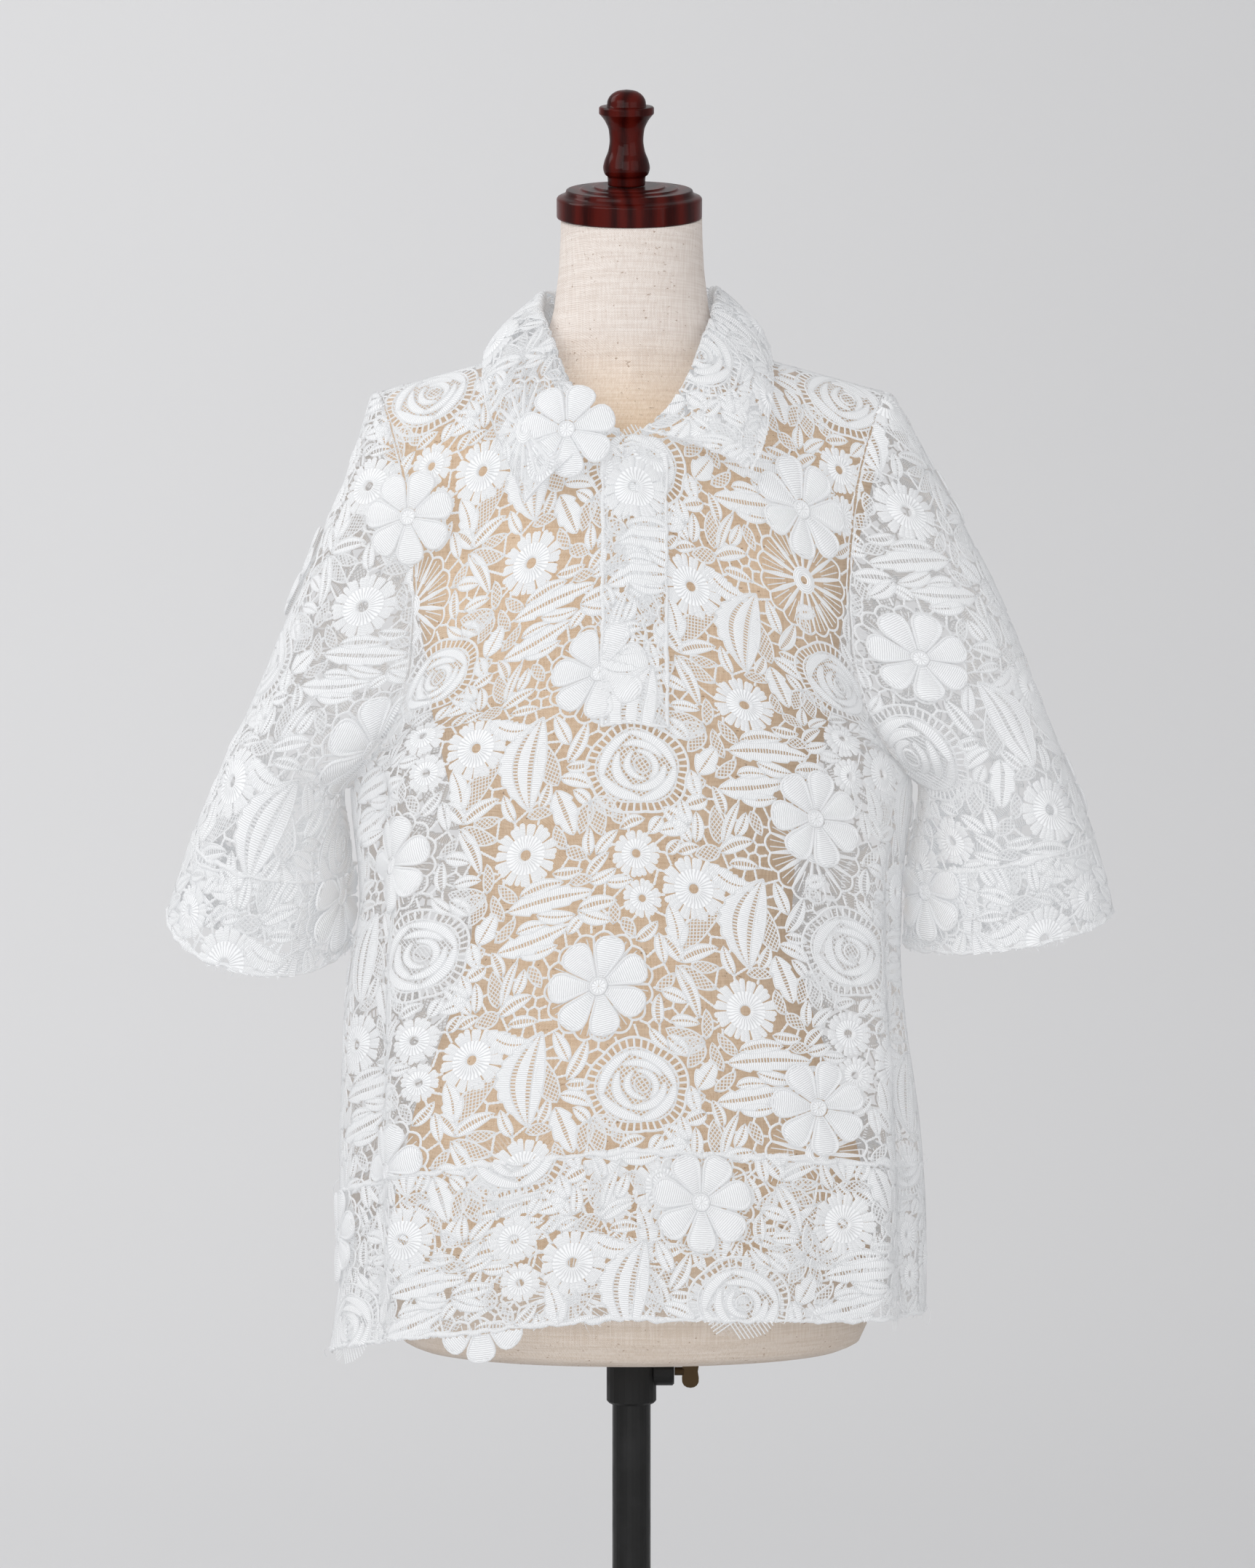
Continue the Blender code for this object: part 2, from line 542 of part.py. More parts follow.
def panel(name, sheet, outline, wall, look, gaps=(), spacing=GRID, extra=(), lift=0.0):
    """A cloth wall: the flat outline filled with triangles, then laid on both faces of the sheet."""
    loops = [outline, *gaps]
    coords = []
    edges = []
    for loop in loops:
        start = len(coords)
        coords.extend(loop)
        edges.extend((start + k, start + (k + 1) % len(loop)) for k in range(len(loop)))
    low = (min(p[0] for p in outline), min(p[1] for p in outline))
    high = (max(p[0] for p in outline), max(p[1] for p in outline))
    inner = list(extra)
    row = 0
    y = low[1] + spacing * 0.43
    while y < high[1]:
        x = low[0] + spacing * (0.5 if row % 2 else 1.0)
        while x < high[0]:
            inner.append((x, y))
            x += spacing
        y += spacing * 0.87
        row += 1
    for place, (x, y) in enumerate(inner):
        if not inside(x, y, outline) or loop_distance(x, y, outline) < min(spacing * 0.42, 9):
            continue
        if place >= len(extra) and any(math.dist((x, y), spot) < spacing * 0.62 for spot in extra):
            continue
        if any(inside(x, y, gap) or loop_distance(x, y, gap) < spacing * 0.3 for gap in gaps):
            continue
        coords.append((x, y))
    flat, _, faces, _, _, _ = delaunay_2d_cdt([Vector(c) for c in coords], edges, [], 0, 1e-5)
    kept = []
    for face in faces:
        cx = sum(flat[i].x for i in face) / 3
        cy = sum(flat[i].y for i in face) / 3
        if inside(cx, cy, outline) and not any(inside(cx, cy, gap) for gap in gaps):
            kept.append(tuple(face))
    used = sorted({i for face in kept for i in face})
    place = {old: new for new, old in enumerate(used)}
    count = len(used)
    spots = [(sheet.point(flat[i].x, flat[i].y), sheet.normal(flat[i].x, flat[i].y)) for i in used]
    points = [spot + out * (lift + wall / 2) for spot, out in spots]
    points += [spot + out * (lift - wall / 2) for spot, out in spots]
    solid_faces = []
    sides = {}
    for face in kept:
        a, b, c = (place[i] for i in face)
        solid_faces.append((a, b, c))
        solid_faces.append((a + count, c + count, b + count))
        for start, end in ((a, b), (b, c), (c, a)):
            sides[(start, end)] = True
    for start, end in sides:
        if (end, start) not in sides:
            solid_faces.append((start, start + count, end + count))
            solid_faces.append((start, end + count, end))
    return add_object(name, points, solid_faces, look)


def body_outline(sheet, neck, low):
    """Outline of a body piece: band seam, side, armhole, shoulder, neck, and back down."""
    levels = list(np.linspace(low, 408, 12)) + [434, 469, 510, 554, 600, 640, 672, 700, sheet.top]
    right = [(sheet.width(v, False) - SEAM_GAP / 2, float(v)) for v in levels]
    left = [(-(sheet.width(v, True) - SEAM_GAP / 2), float(v)) for v in levels]
    neck_right = [(u, sheet.top - drop) for u, drop in reversed(neck)]
    neck_left = [(-u, sheet.top - drop) for u, drop in neck[1:]]
    shoulder_right = resample([right[-1], neck_right[0]], GRID)[1:-1]
    shoulder_left = resample([neck_left[-1], left[-1]], GRID)[1:-1]
    hem = resample([left[0], right[0]], GRID)
    trimmed_top = sheet.top - SHOULDER_GAP / 2
    loop = hem + right[1:] + shoulder_right + neck_right + neck_left + shoulder_left + left[:0:-1]
    return [(u, min(v, trimmed_top)) for u, v in loop]


def shoulder_points(top):
    """Extra points that let a body piece bend closely over the form's shoulders."""
    return [(side * u, top - drop) for side in (-1, 1) for drop in (11.0, 24.0, 40.0)
            for u in (92.0, 116.0, 140.0, 162.0)]


def band_outline(sheet, high):
    levels = np.linspace(0, high, 5)
    right = [(sheet.width(v, False) - SEAM_GAP / 2, float(v)) for v in levels]
    left = [(-(sheet.width(v, True) - SEAM_GAP / 2), float(v)) for v in levels]
    low_edge = resample([left[0], right[0]], GRID)
    high_edge = resample([right[-1], left[-1]], GRID)
    return low_edge + right[1:-1] + high_edge + left[-2:0:-1]


def sleeve_outline(sheet, back, low):
    """Half of a sleeve: cuff seam, underarm seam, armhole, and back down the outer line."""
    levels = list(np.linspace(low, UNDERARM_V, 3)) + [135, 160, 190, 220, 250, 280, 310, 340, 366, 386]
    sign = -1 if back else 1
    inset = 0.45
    edge = [(sign * (sheet.width(v, back) - inset), float(v)) for v in levels]
    tip = (sign * inset, 399.0)
    bottom = resample([(sign * inset, low), edge[0]], GRID)
    middle = resample([tip, (sign * inset, low)], GRID)[1:-1]
    return bottom + edge[1:] + [tip] + middle


def tube(name, rows, look):
    """A closed ring of wall from rows of points that all have the same count."""
    points = [p for row in rows for p in row]
    count = len(rows[0])
    faces = []
    for r in range(len(rows)):
        after = (r + 1) % len(rows)
        for k in range(count):
            step = (k + 1) % count
            faces.append((r * count + k, r * count + step, after * count + step, after * count + k))
    return add_object(name, points, faces, look)


def cuff(name, sheet, look):
    """The doubled cuff: a ring of cloth below the sleeve's seam."""
    high = CUFF_DEPTH
    steps = 13
    rows = []
    for side, levels in ((1, (0.0, high / 2, high)), (-1, (high, high / 2, 0.0))):
        for v in levels:
            ring = []
            for back in (False, True):
                width = sheet.width(v, back)
                for k in range(steps):
                    share = k / steps
                    if back:
                        share = 1 - share
                    u = width * share * (-1 if back else 1)
                    if back and k == 0:
                        u = -(width - 0.01)
                    ring.append(sheet.point(u, v) + sheet.normal(u, v) * side * CUFF_WALL / 2)
            rows.append(ring)
    return tube(name, rows, look)


def collar(look):
    """Stand and turned-down fall in one folded wall, swept round the neck."""
    columns = table(COLLAR_COLUMNS, COLLAR_ROWS)
    names = "seam_x seam_y seam_z roll_x roll_y roll_z fall_x fall_y fall_z"
    points = []
    per_section = 12
    last = COLLAR_ROWS[-1][0]
    for k in range(COLLAR_SECTIONS + 1):
        values = read(columns, "s", last * k / COLLAR_SECTIONS, names)
        seam, roll, fall = Vector(values[0:3]), Vector(values[3:6]), Vector(values[6:9])
        outward = fall - roll
        outward.z = 0
        outward.normalize()
        half = COLLAR_WALL / 2
        apart = COLLAR_FOLD
        bulge = (roll + fall) / 2 + outward * 5 + Vector((0, 0, 3))
        lean = (fall - bulge).normalized()
        side = Vector((0, 0, 1)) - lean * lean.z
        side.normalize()
        high = min(1.0, (roll - seam).length / 20)
        depth = Vector((0, 0, -1.6 * high))
        points += [
            seam - outward * half,
            roll - outward * (half + apart * high),
            roll - outward * apart * 0.4 + Vector((0, 0, half)),
            roll + outward * apart * 0.6 + Vector((0, 0, half)),
            roll + outward * (half + apart) + Vector((0, 0, -0.4)),
            bulge + side * half,
            fall + side * half,
            fall - side * half,
            bulge - side * half,
            roll + outward * (apart - half + 0.3) + depth + Vector((0, 0, -half)),
            roll - outward * (apart * high - half) + depth + Vector((0, 0, -half)),
            seam + outward * half,
        ]
    faces = []
    for k in range(COLLAR_SECTIONS):
        for i in range(per_section):
            step = (i + 1) % per_section
            a = k * per_section
            b = a + per_section
            faces.append((a + i, a + step, b + step, b + i))
    end = COLLAR_SECTIONS * per_section
    caps = ((0, 1, 10, 11), (1, 2, 3, 4, 9, 10), (4, 5, 8, 9), (5, 6, 7, 8))
    for cap in caps:
        faces.append(tuple(reversed(cap)))
        faces.append(tuple(i + end for i in cap))
    return add_object("collar", points, faces, look)


def bloom(name, sheet, centre, turn, look):
    """A free-petalled flower: its middle rests on the lace and its petals stand off it."""
    spots = []
    per_petal = 3
    for petal in range(BLOOM_PETALS):
        heading = turn + 2 * math.pi * petal / BLOOM_PETALS
        half_step = math.pi / BLOOM_PETALS
        for angle, radius in ((heading - half_step, BLOOM_WAIST),
                              (heading - half_step * 0.52, BLOOM_RADIUS),
                              (heading + half_step * 0.52, BLOOM_RADIUS)):
            spots.append((angle, radius))
    count = BLOOM_PETALS * per_petal
    points = []
    face_lift = LACE_WALL / 2 + BLOOM_GAP
    for wall in (BLOOM_WALL, 0.0):
        middle = sheet.point(*centre)
        points.append(middle + sheet.normal(*centre) * (face_lift + wall))
        for angle, radius in spots:
            u = centre[0] + radius * math.cos(angle)
            v = centre[1] + radius * math.sin(angle)
            lift = face_lift + wall + (3.6 if radius > BLOOM_WAIST else 1.3)
            points.append(sheet.point(u, v) + sheet.normal(u, v) * lift)
    faces = []
    under = count + 1
    for k in range(count):
        a = 1 + k
        b = 1 + (k + 1) % count
        faces.append((0, a, b))
        faces.append((under, under + b, under + a))
        faces.append((a, under + a, under + b))
        faces.append((a, under + b, b))
    return add_object(name, points, faces, look)


def turned(name, profile, look, sides=32, centre=(0, 0, 0)):
    """A turned solid: its profile's radius and height pairs run from one end of the axis to the other."""
    points = []
    rings = []
    for radius, height in profile:
        if radius < 1e-6:
            rings.append([len(points)])
            points.append((centre[0], centre[1], centre[2] + height))
            continue
        rings.append(list(range(len(points), len(points) + sides)))
        for k in range(sides):
            angle = 2 * math.pi * k / sides
            points.append((centre[0] + radius * math.cos(angle), centre[1] + radius * math.sin(angle),
                           centre[2] + height))
    faces = join_rings(rings)
    return add_object(name, points, faces, look)


def join_rings(rings):
    faces = []
    for low, high in zip(rings, rings[1:]):
        count = max(len(low), len(high))
        for k in range(count):
            step = (k + 1) % count
            if len(low) == 1:
                faces.append((low[0], high[step], high[k]))
            elif len(high) == 1:
                faces.append((low[k], low[step], high[0]))
            else:
                faces.append((low[k], low[step], high[step], high[k]))
    return faces


def form_ring(row):
    z, wide, front, back, square = row
    ring = []
    tilt = math.tan(NECK_TILT) * min(max((z - NECK_TILT_START) / (FORM_ROWS[-1][0] - NECK_TILT_START), 0), 1)
    middle = (back - front) / 2
    for k in range(FORM_SIDES):
        angle = 2 * math.pi * k / FORM_SIDES
        c, s = math.cos(angle), math.sin(angle)
        x = wide * math.copysign(abs(c) ** (2 / square), c)
        depth = back if s > 0 else front
        y = depth * math.copysign(abs(s) ** (2 / square), s)
        if z > NECK_TILT_START:
            y = middle + (front + back) / 2 * s
            x = wide * c
        ring.append((x, y, z + tilt * (y - middle)))
    return ring


def torso(look):
    """The linen-covered form, with the pole's blind bore rising from its underside."""
    rows = [form_ring(row) for row in reversed(FORM_ROWS)]
    bore_ring = [(BORE_RADIUS * math.cos(2 * math.pi * k / FORM_SIDES),
                  BORE_RADIUS * math.sin(2 * math.pi * k / FORM_SIDES)) for k in range(FORM_SIDES)]
    floor = FORM_ROWS[0][0]
    rows.append([(x, y, floor) for x, y in bore_ring])
    rows.append([(x, y, BORE_TOP) for x, y in bore_ring])
    top = rows[0]
    points = [tuple(sum(p[i] for p in top) / FORM_SIDES for i in range(3))]
    rings = [[0]]
    for row in rows:
        rings.append(list(range(len(points), len(points) + len(row))))
        points.extend(row)
    rings.append([len(points)])
    points.append((0, 0, BORE_TOP + 4))
    return add_object("torso", points, join_rings(rings), look)


def neck_fittings(wood):
    """Turned cap and finial, leaning forward with the neck."""
    z, _, front, back, _ = FORM_ROWS[-1]
    cap_profile = [(0, 0.35), (50.0, 0.35), (51.0, 1.4), (51.0, 14.0), (50.2, 15.0), (46.5, 16.2),
                   (44.6, 18.6), (43.5, 20.0), (34.5, 20.3), (34.0, 21.2), (25.5, 21.5), (25.0, 22.4),
                   (0, 22.4)]
    cap = turned("neck_cap", cap_profile, wood, 32)
    low = 23.1
    finial_profile = [(0, low), (13.0, low), (13.4, low + 6.0), (15.2, low + 7.6), (16.4, low + 12.0),
                      (15.4, low + 17.0), (12.8, low + 24.0), (11.8, low + 31.0), (12.4, low + 38.0),
                      (14.8, low + 44.0), (18.0, low + 48.4), (19.2, low + 49.8), (19.2, low + 53.4),
                      (18.4, low + 54.4), (14.0, low + 54.8), (13.2, low + 58.6), (10.8, low + 62.4),
                      (6.0, low + 65.2), (0, low + 66.0)]
    finial = turned("finial", finial_profile, wood, 18)
    for made, aside in ((cap, -1.5), (finial, -3.5)):
        made.location = Vector((aside, (back - front) / 2, z)) * MM
        made.rotation_euler = (NECK_TILT, 0, 0)


def stand(iron, plastic, bronze):
    bevel = PLATE_BEVEL
    turned("base_plate", [(0, 0), (PLATE_RADIUS - bevel, 0), (PLATE_RADIUS, bevel),
                          (PLATE_RADIUS, PLATE_THICK - bevel), (PLATE_RADIUS - bevel, PLATE_THICK),
                          (0, PLATE_THICK)], iron, 48)
    inner = POLE_RADIUS + 0.3
    floor = PLATE_THICK + 0.3
    turned("base_socket", [(0, floor), (SOCKET_RADIUS + 6, floor), (SOCKET_RADIUS + 6, floor + 5),
                           (SOCKET_RADIUS, floor + 8), (SOCKET_RADIUS, SOCKET_HIGH - 2),
                           (SOCKET_RADIUS - 2, SOCKET_HIGH), (inner, SOCKET_HIGH), (inner, POLE_LOW - 0.3),
                           (0, POLE_LOW - 0.3)], iron, 28)
    turned("pole", [(0, POLE_LOW), (POLE_RADIUS, POLE_LOW), (POLE_RADIUS, POLE_HIGH - 2),
                    (POLE_RADIUS - 2, POLE_HIGH), (0, POLE_HIGH)], iron, 28)
    clamp_with_boss(plastic)
    wing_screw(bronze)


def clamp_with_boss(plastic):
    """Height clamp: a sleeve on the pole with the screw's boss on its right side."""
    lip = 1.6
    clamp = turned("height_clamp", [(CLAMP_BORE, CLAMP_LOW), (CLAMP_RADIUS - lip, CLAMP_LOW),
                                    (CLAMP_RADIUS, CLAMP_LOW + lip), (CLAMP_RADIUS, CLAMP_HIGH - 0.6),
                                    (CLAMP_RADIUS - 0.6, CLAMP_HIGH), (CLAMP_BORE, CLAMP_HIGH),
                                    (CLAMP_BORE, CLAMP_LOW)], plastic, 24)
    weld(clamp)
    boss = turned("boss_shape", [(0, 15.5), (BOSS_RADIUS, 15.5), (BOSS_RADIUS, BOSS_END - 1.2),
                                 (BOSS_RADIUS - 1.2, BOSS_END), (0, BOSS_END)], plastic, 24)
    boss.rotation_euler = (0, math.pi / 2, 0)
    boss.location = (0, 0, SCREW_Z * MM)
    join = clamp.modifiers.new("boss", "BOOLEAN")
    join.operation = "UNION"
    join.solver = "EXACT"
    join.object = boss
    boss.hide_render = True
    boss.display_type = "WIRE"


def weld(made):
    fuse = made.modifiers.new("fuse", "WELD")
    fuse.merge_threshold = 0.00001


def wing_screw(bronze):
    """Shaft along X with a flat two-eared wing, turning about its own axis."""
    sides = 12
    start = BOSS_END + 0.3
    profile = [(0, 0), (SCREW_SHAFT_RADIUS, 0), (SCREW_SHAFT_RADIUS, SCREW_WING_START + 4 - start),
               (0, SCREW_WING_START + 4 - start)]
    shaft = turned("wing_screw", profile, bronze, sides)
    reach = SCREW_WING_END - SCREW_WING_START
    ears = []
    for k in range(20):
        angle = 2 * math.pi * k / 20
        out = 11.5 * abs(math.cos(angle)) ** 0.8
        ears.append((math.copysign(out, math.cos(angle)),
                     SCREW_WING_START - start + reach * (0.5 + 0.5 * math.sin(angle) * (0.62 + 0.38 * abs(
                         math.cos(angle))))))
    thick = 2.1
    points = [(x, -thick, z) for x, z in ears] + [(x, thick, z) for x, z in ears]
    count = len(ears)
    faces = [tuple(range(count)), tuple(reversed(range(count, 2 * count)))]
    faces += [(k, k + count, (k + 1) % count + count, (k + 1) % count) for k in range(count)]
    wing = add_object("wing_shape", points, faces, bronze)
    for made in (shaft, wing):
        made.rotation_euler = (0, math.pi / 2, 0)
        made.location = (start * MM, 0, SCREW_Z * MM)
    join = shaft.modifiers.new("wing", "BOOLEAN")
    join.operation = "UNION"
    join.solver = "EXACT"
    join.object = wing
    wing.hide_render = True
    wing.display_type = "WIRE"


def build_shirt():
    lace = material("white lace", (0.93, 0.93, 0.92), 0.85)
    front = BodySheet(FRONT_ROWS, FRONT_FOLDS, False)
    back = BodySheet(BACK_ROWS, BACK_FOLDS, True)
    left, right, low, high = (PLACKET[key] for key in ("left", "right", "low", "high"))
    strip = [(left, low), (right, low), (right, high), (left, high)]
    strip_middle = [((left + right) / 2, v) for v in np.linspace(low, high, 9)]
    strip_points = [(u, v) for u in (left, right) for _, v in strip_middle] + strip_middle
    seam = HEM_BAND_DEPTH + SEAM_GAP

    front_loop = body_outline(front, FRONT_NECK, seam)
    panel("front", front, front_loop, LACE_WALL, lace,
          gap_loops(LACE_START["front"], front_loop, [strip]),
          extra=strip_points + shoulder_points(front.top) + BLOOM_PLACES["front"])
    back_loop = body_outline(back, BACK_NECK, seam)
    panel("back", back, back_loop, LACE_WALL, lace, gap_loops(LACE_START["back"], back_loop, []),
          extra=shoulder_points(back.top) + BLOOM_PLACES["back"])
    panel("hem_band_front", front, band_outline(front, HEM_BAND_DEPTH), BAND_WALL, lace)
    panel("hem_band_back", back, band_outline(back, HEM_BAND_DEPTH), BAND_WALL, lace)

    placket_loop = resample([(left, low), (right, low), (right, high), (left, high), (left, low)], 24)[:-1]
    panel("placket", front, placket_loop, PLACKET_WALL, lace, spacing=500, extra=strip_middle[1:-1],
          lift=LACE_WALL / 2 + PLACKET_GAP + PLACKET_WALL / 2)

    sleeve_sheets = {}
    for side in ("left", "right"):
        sheet = SleeveSheet(side == "left")
        sleeve_sheets[side] = sheet
        for half in ("front", "back"):
            is_back = half == "back"
            loop = sleeve_outline(sheet, is_back, CUFF_DEPTH + 2 * SEAM_GAP)
            gaps = gap_loops(LACE_START[f"sleeve_{side}"], loop, [])
            panel(f"sleeve_{side}_{half}", sheet, loop, LACE_WALL, lace, gaps,
                  extra=BLOOM_PLACES[f"sleeve_{side}"])
        cuff(f"cuff_{side}", sheet, lace)
    collar(lace)
    add_blooms(front, back, sleeve_sheets, lace)


def add_blooms(front, back, sleeves, lace):
    """The raised flowers, where the lace repeat puts them on each piece."""
    sheets = {"front": front, "back": back, "sleeve_left": sleeves["left"], "sleeve_right": sleeves["right"]}
    number = 0
    for piece, places in BLOOM_PLACES.items():
        for spot in places:
            number += 1
            turn = math.radians(-90 + 9 * (number % 3))
            bloom(f"bloom_{number:02d}_{piece}", sheets[piece], spot, turn, lace)


def build_form_and_stand():
    linen = material("beige linen", (0.72, 0.62, 0.48), 0.9)
    wood = material("mahogany lacquer", (0.20, 0.02, 0.012), 0.15)
    iron = material("black enamelled steel", (0.02, 0.02, 0.02), 0.35, 0.2)
    plastic = material("black plastic", (0.015, 0.015, 0.015), 0.4)
    bronze = material("bronze screw", (0.18, 0.14, 0.09), 0.35, 0.9)
    torso(linen)
    neck_fittings(wood)
    stand(iron, plastic, bronze)


build_form_and_stand()
build_shirt()
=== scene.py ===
# %% [markdown]
# # A lace shirt on a dress form
# This lesson dresses a plain frame of solids as a heavy white lace shirt on a linen form.
# The frame holds every size and every moving body, so the lesson only adds surfaces.
# Guipure lace is thick thread stitched on a cloth that is washed away afterwards: what is left is flowers,
# leaves and the bars between them. One repeat is drawn flat here, and then laid on every cut piece.

# %% Load the frame
import json
import math

import bpy
import numpy as np
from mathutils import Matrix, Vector
from mathutils.geometry import delaunay_2d_cdt


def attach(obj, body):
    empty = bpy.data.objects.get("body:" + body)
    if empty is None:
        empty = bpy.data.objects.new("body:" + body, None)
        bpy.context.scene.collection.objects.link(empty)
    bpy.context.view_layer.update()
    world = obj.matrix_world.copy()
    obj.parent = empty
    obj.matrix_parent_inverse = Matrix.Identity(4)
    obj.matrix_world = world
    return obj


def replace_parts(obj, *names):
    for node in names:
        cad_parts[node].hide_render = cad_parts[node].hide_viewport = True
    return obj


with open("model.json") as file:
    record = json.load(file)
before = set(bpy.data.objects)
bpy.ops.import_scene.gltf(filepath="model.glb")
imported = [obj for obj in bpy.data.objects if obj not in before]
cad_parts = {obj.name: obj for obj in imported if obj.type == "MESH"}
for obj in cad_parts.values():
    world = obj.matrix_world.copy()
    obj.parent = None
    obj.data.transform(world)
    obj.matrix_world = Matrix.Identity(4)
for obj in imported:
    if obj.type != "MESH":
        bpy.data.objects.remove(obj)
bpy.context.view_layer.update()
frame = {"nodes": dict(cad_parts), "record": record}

# %% [markdown]
# ## The photographer's place
# The camera stands level at chest height, 2.6 m from the form's pole. A level camera keeps upright lines
# upright, and the lens is worked out from how many pixels one metre takes at that distance.

# %% Camera
PIXELS_PER_UNIT = 5070.0
FRAME_HIGH = 2156.0
SENSOR = 36.0
lens = bpy.data.cameras.new("camera")
lens.sensor_fit = "VERTICAL"
lens.sensor_height = SENSOR
lens.lens = PIXELS_PER_UNIT * SENSOR / FRAME_HIGH
camera = bpy.data.objects.new("camera", lens)
camera.location = (-0.0028, -2.6, 1.116)
camera.rotation_euler = (math.pi / 2, 0, 0)
bpy.context.collection.objects.link(camera)
bpy.context.scene.camera = camera
print("lens", round(lens.lens, 1), "mm")

# %% [markdown]
# ## Flat pieces and worn shapes
# A maker cuts each piece flat, and the wearer bends it. Each piece here is the same: a place on it is
# (u, v) in millimetres of flat cloth, and a grid says where that place lies in the room. Rows of four numbers
# shape each level of the body, and a cubic curve that never overshoots joins them.

# %% Reading the size tables
MM = 0.001
GRID_STEP = 4.0
CURVE_STATIONS = 25
TINY = 1e-9
SHORT = 1e-6


def table(names, rows):
    return {name: np.array([row[i] for row in rows], float) for i, name in enumerate(names.split())}


def smooth(place, places, values):
    place = np.clip(place, places[0], places[-1])
    gaps = np.diff(places)
    slopes = np.diff(values) / gaps
    both = slopes[:-1] * slopes[1:]
    total = np.where(both > 0, slopes[:-1] + slopes[1:], 1)
    tangents = np.concatenate([[slopes[0]], np.where(both > 0, 2 * both / total, 0), [slopes[-1]]])
    i = np.clip(np.searchsorted(places, place, side="right") - 1, 0, len(gaps) - 1)
    t = (place - places[i]) / gaps[i]
    start = (2 * t ** 3 - 3 * t ** 2 + 1) * values[i] + (t ** 3 - 2 * t ** 2 + t) * gaps[i] * tangents[i]
    end = (3 * t ** 2 - 2 * t ** 3) * values[i + 1] + (t ** 3 - t ** 2) * gaps[i] * tangents[i + 1]
    return start + end


def read(columns, key, place, names):
    return [smooth(place, columns[key], columns[name]) for name in names.split()]


def bezier(corners, t):
    t = np.asarray(t, float)[:, None]
    a, b, c, d = corners
    return (1 - t) ** 3 * a + 3 * (1 - t) ** 2 * t * b + 3 * (1 - t) * t ** 2 * c + t ** 3 * d


def steps_along(line):
    """How far along a line each of its points lies."""
    return np.concatenate([[0], np.cumsum(np.linalg.norm(np.diff(line, axis=0), axis=1))])


def along(corners, distance):
    """Points at these distances from a row's middle, their share of the row, and its length."""
    steps = np.linspace(0, 1, CURVE_STATIONS)
    line = bezier(corners, steps)
    lengths = steps_along(line)
    spots = bezier(corners, np.interp(distance, lengths, steps))
    way = line[-1] - line[-2]
    way = way / max(np.linalg.norm(way), TINY)
    spots = spots + np.maximum(distance - lengths[-1], 0)[:, None] * way
    return spots, np.minimum(distance / max(lengths[-1], SHORT), 1.0), lengths[-1]


print("grid of", GRID_STEP, "mm,", CURVE_STATIONS, "stations on each curve")

# %% [markdown]
# A cut piece is kept as that grid. It knows which way is out, and any flat place (u, v) with a height over the
# cloth can be looked up in the room. Creases are added to it one by one, as a dresser would press them in.

# %% A cut piece on its worn shape
class Cloth:
    """A flat piece on its worn shape, kept as a grid of points and outward directions."""

    def __init__(self, us, vs, points, facing):
        self.us, self.vs, self.points = us, vs, points
        self.turn(facing)

    def turn(self, facing):
        across = np.gradient(self.points, axis=1)
        up = np.gradient(self.points, axis=0)
        out = np.cross(across, up)
        out /= np.maximum(np.linalg.norm(out, axis=2), TINY)[..., None]
        row, column, way = facing
        self.flip = bool(out[row, column] @ np.array(way, float) < 0)
        if self.flip:
            out = -out
        self.out = out
        self.facing = facing

    def look(self, grid, u, v):
        a = np.clip((u - self.us[0]) / (self.us[1] - self.us[0]), 0, len(self.us) - 1.001)
        b = np.clip((v - self.vs[0]) / (self.vs[1] - self.vs[0]), 0, len(self.vs) - 1.001)
        i, j = a.astype(int), b.astype(int)
        a, b = (a - i)[:, None], (b - j)[:, None]
        low = grid[j, i] * (1 - a) + grid[j, i + 1] * a
        high = grid[j + 1, i] * (1 - a) + grid[j + 1, i + 1] * a
        return low * (1 - b) + high * b

    def place(self, spots):
        u, v, h = spots.T
        return self.look(self.points, u, v) + self.look(self.out, u, v) * h[:, None]

    def crease(self, rows):
        """Soft troughs and ridges: start, end, half width and rise of each."""
        u, v = np.meshgrid(self.us, self.vs)
        rise = np.zeros_like(u)
        for u1, v1, u2, v2, half, high in rows:
            du, dv = u2 - u1, v2 - v1
            t = ((u - u1) * du + (v - v1) * dv) / (du * du + dv * dv)
            t = np.clip(t, 0, 1)
            away = np.hypot(u - u1 - t * du, v - v1 - t * dv)
            rise += high * np.exp(-(away / half) ** 2) * (0.15 + 0.85 * np.sin(math.pi * t) ** 0.8)
        self.points = self.points + self.out * rise[..., None]
        self.turn(self.facing)


print("a cut piece can", [name for name in vars(Cloth) if not name.startswith("_")])

# %% [markdown]
# ## The dress form's levels
# A padded form is measured level by level, like a person: half width, depth to the front, depth to the back,
# and how square that level is. The cloth is kept about four millimetres clear of it.

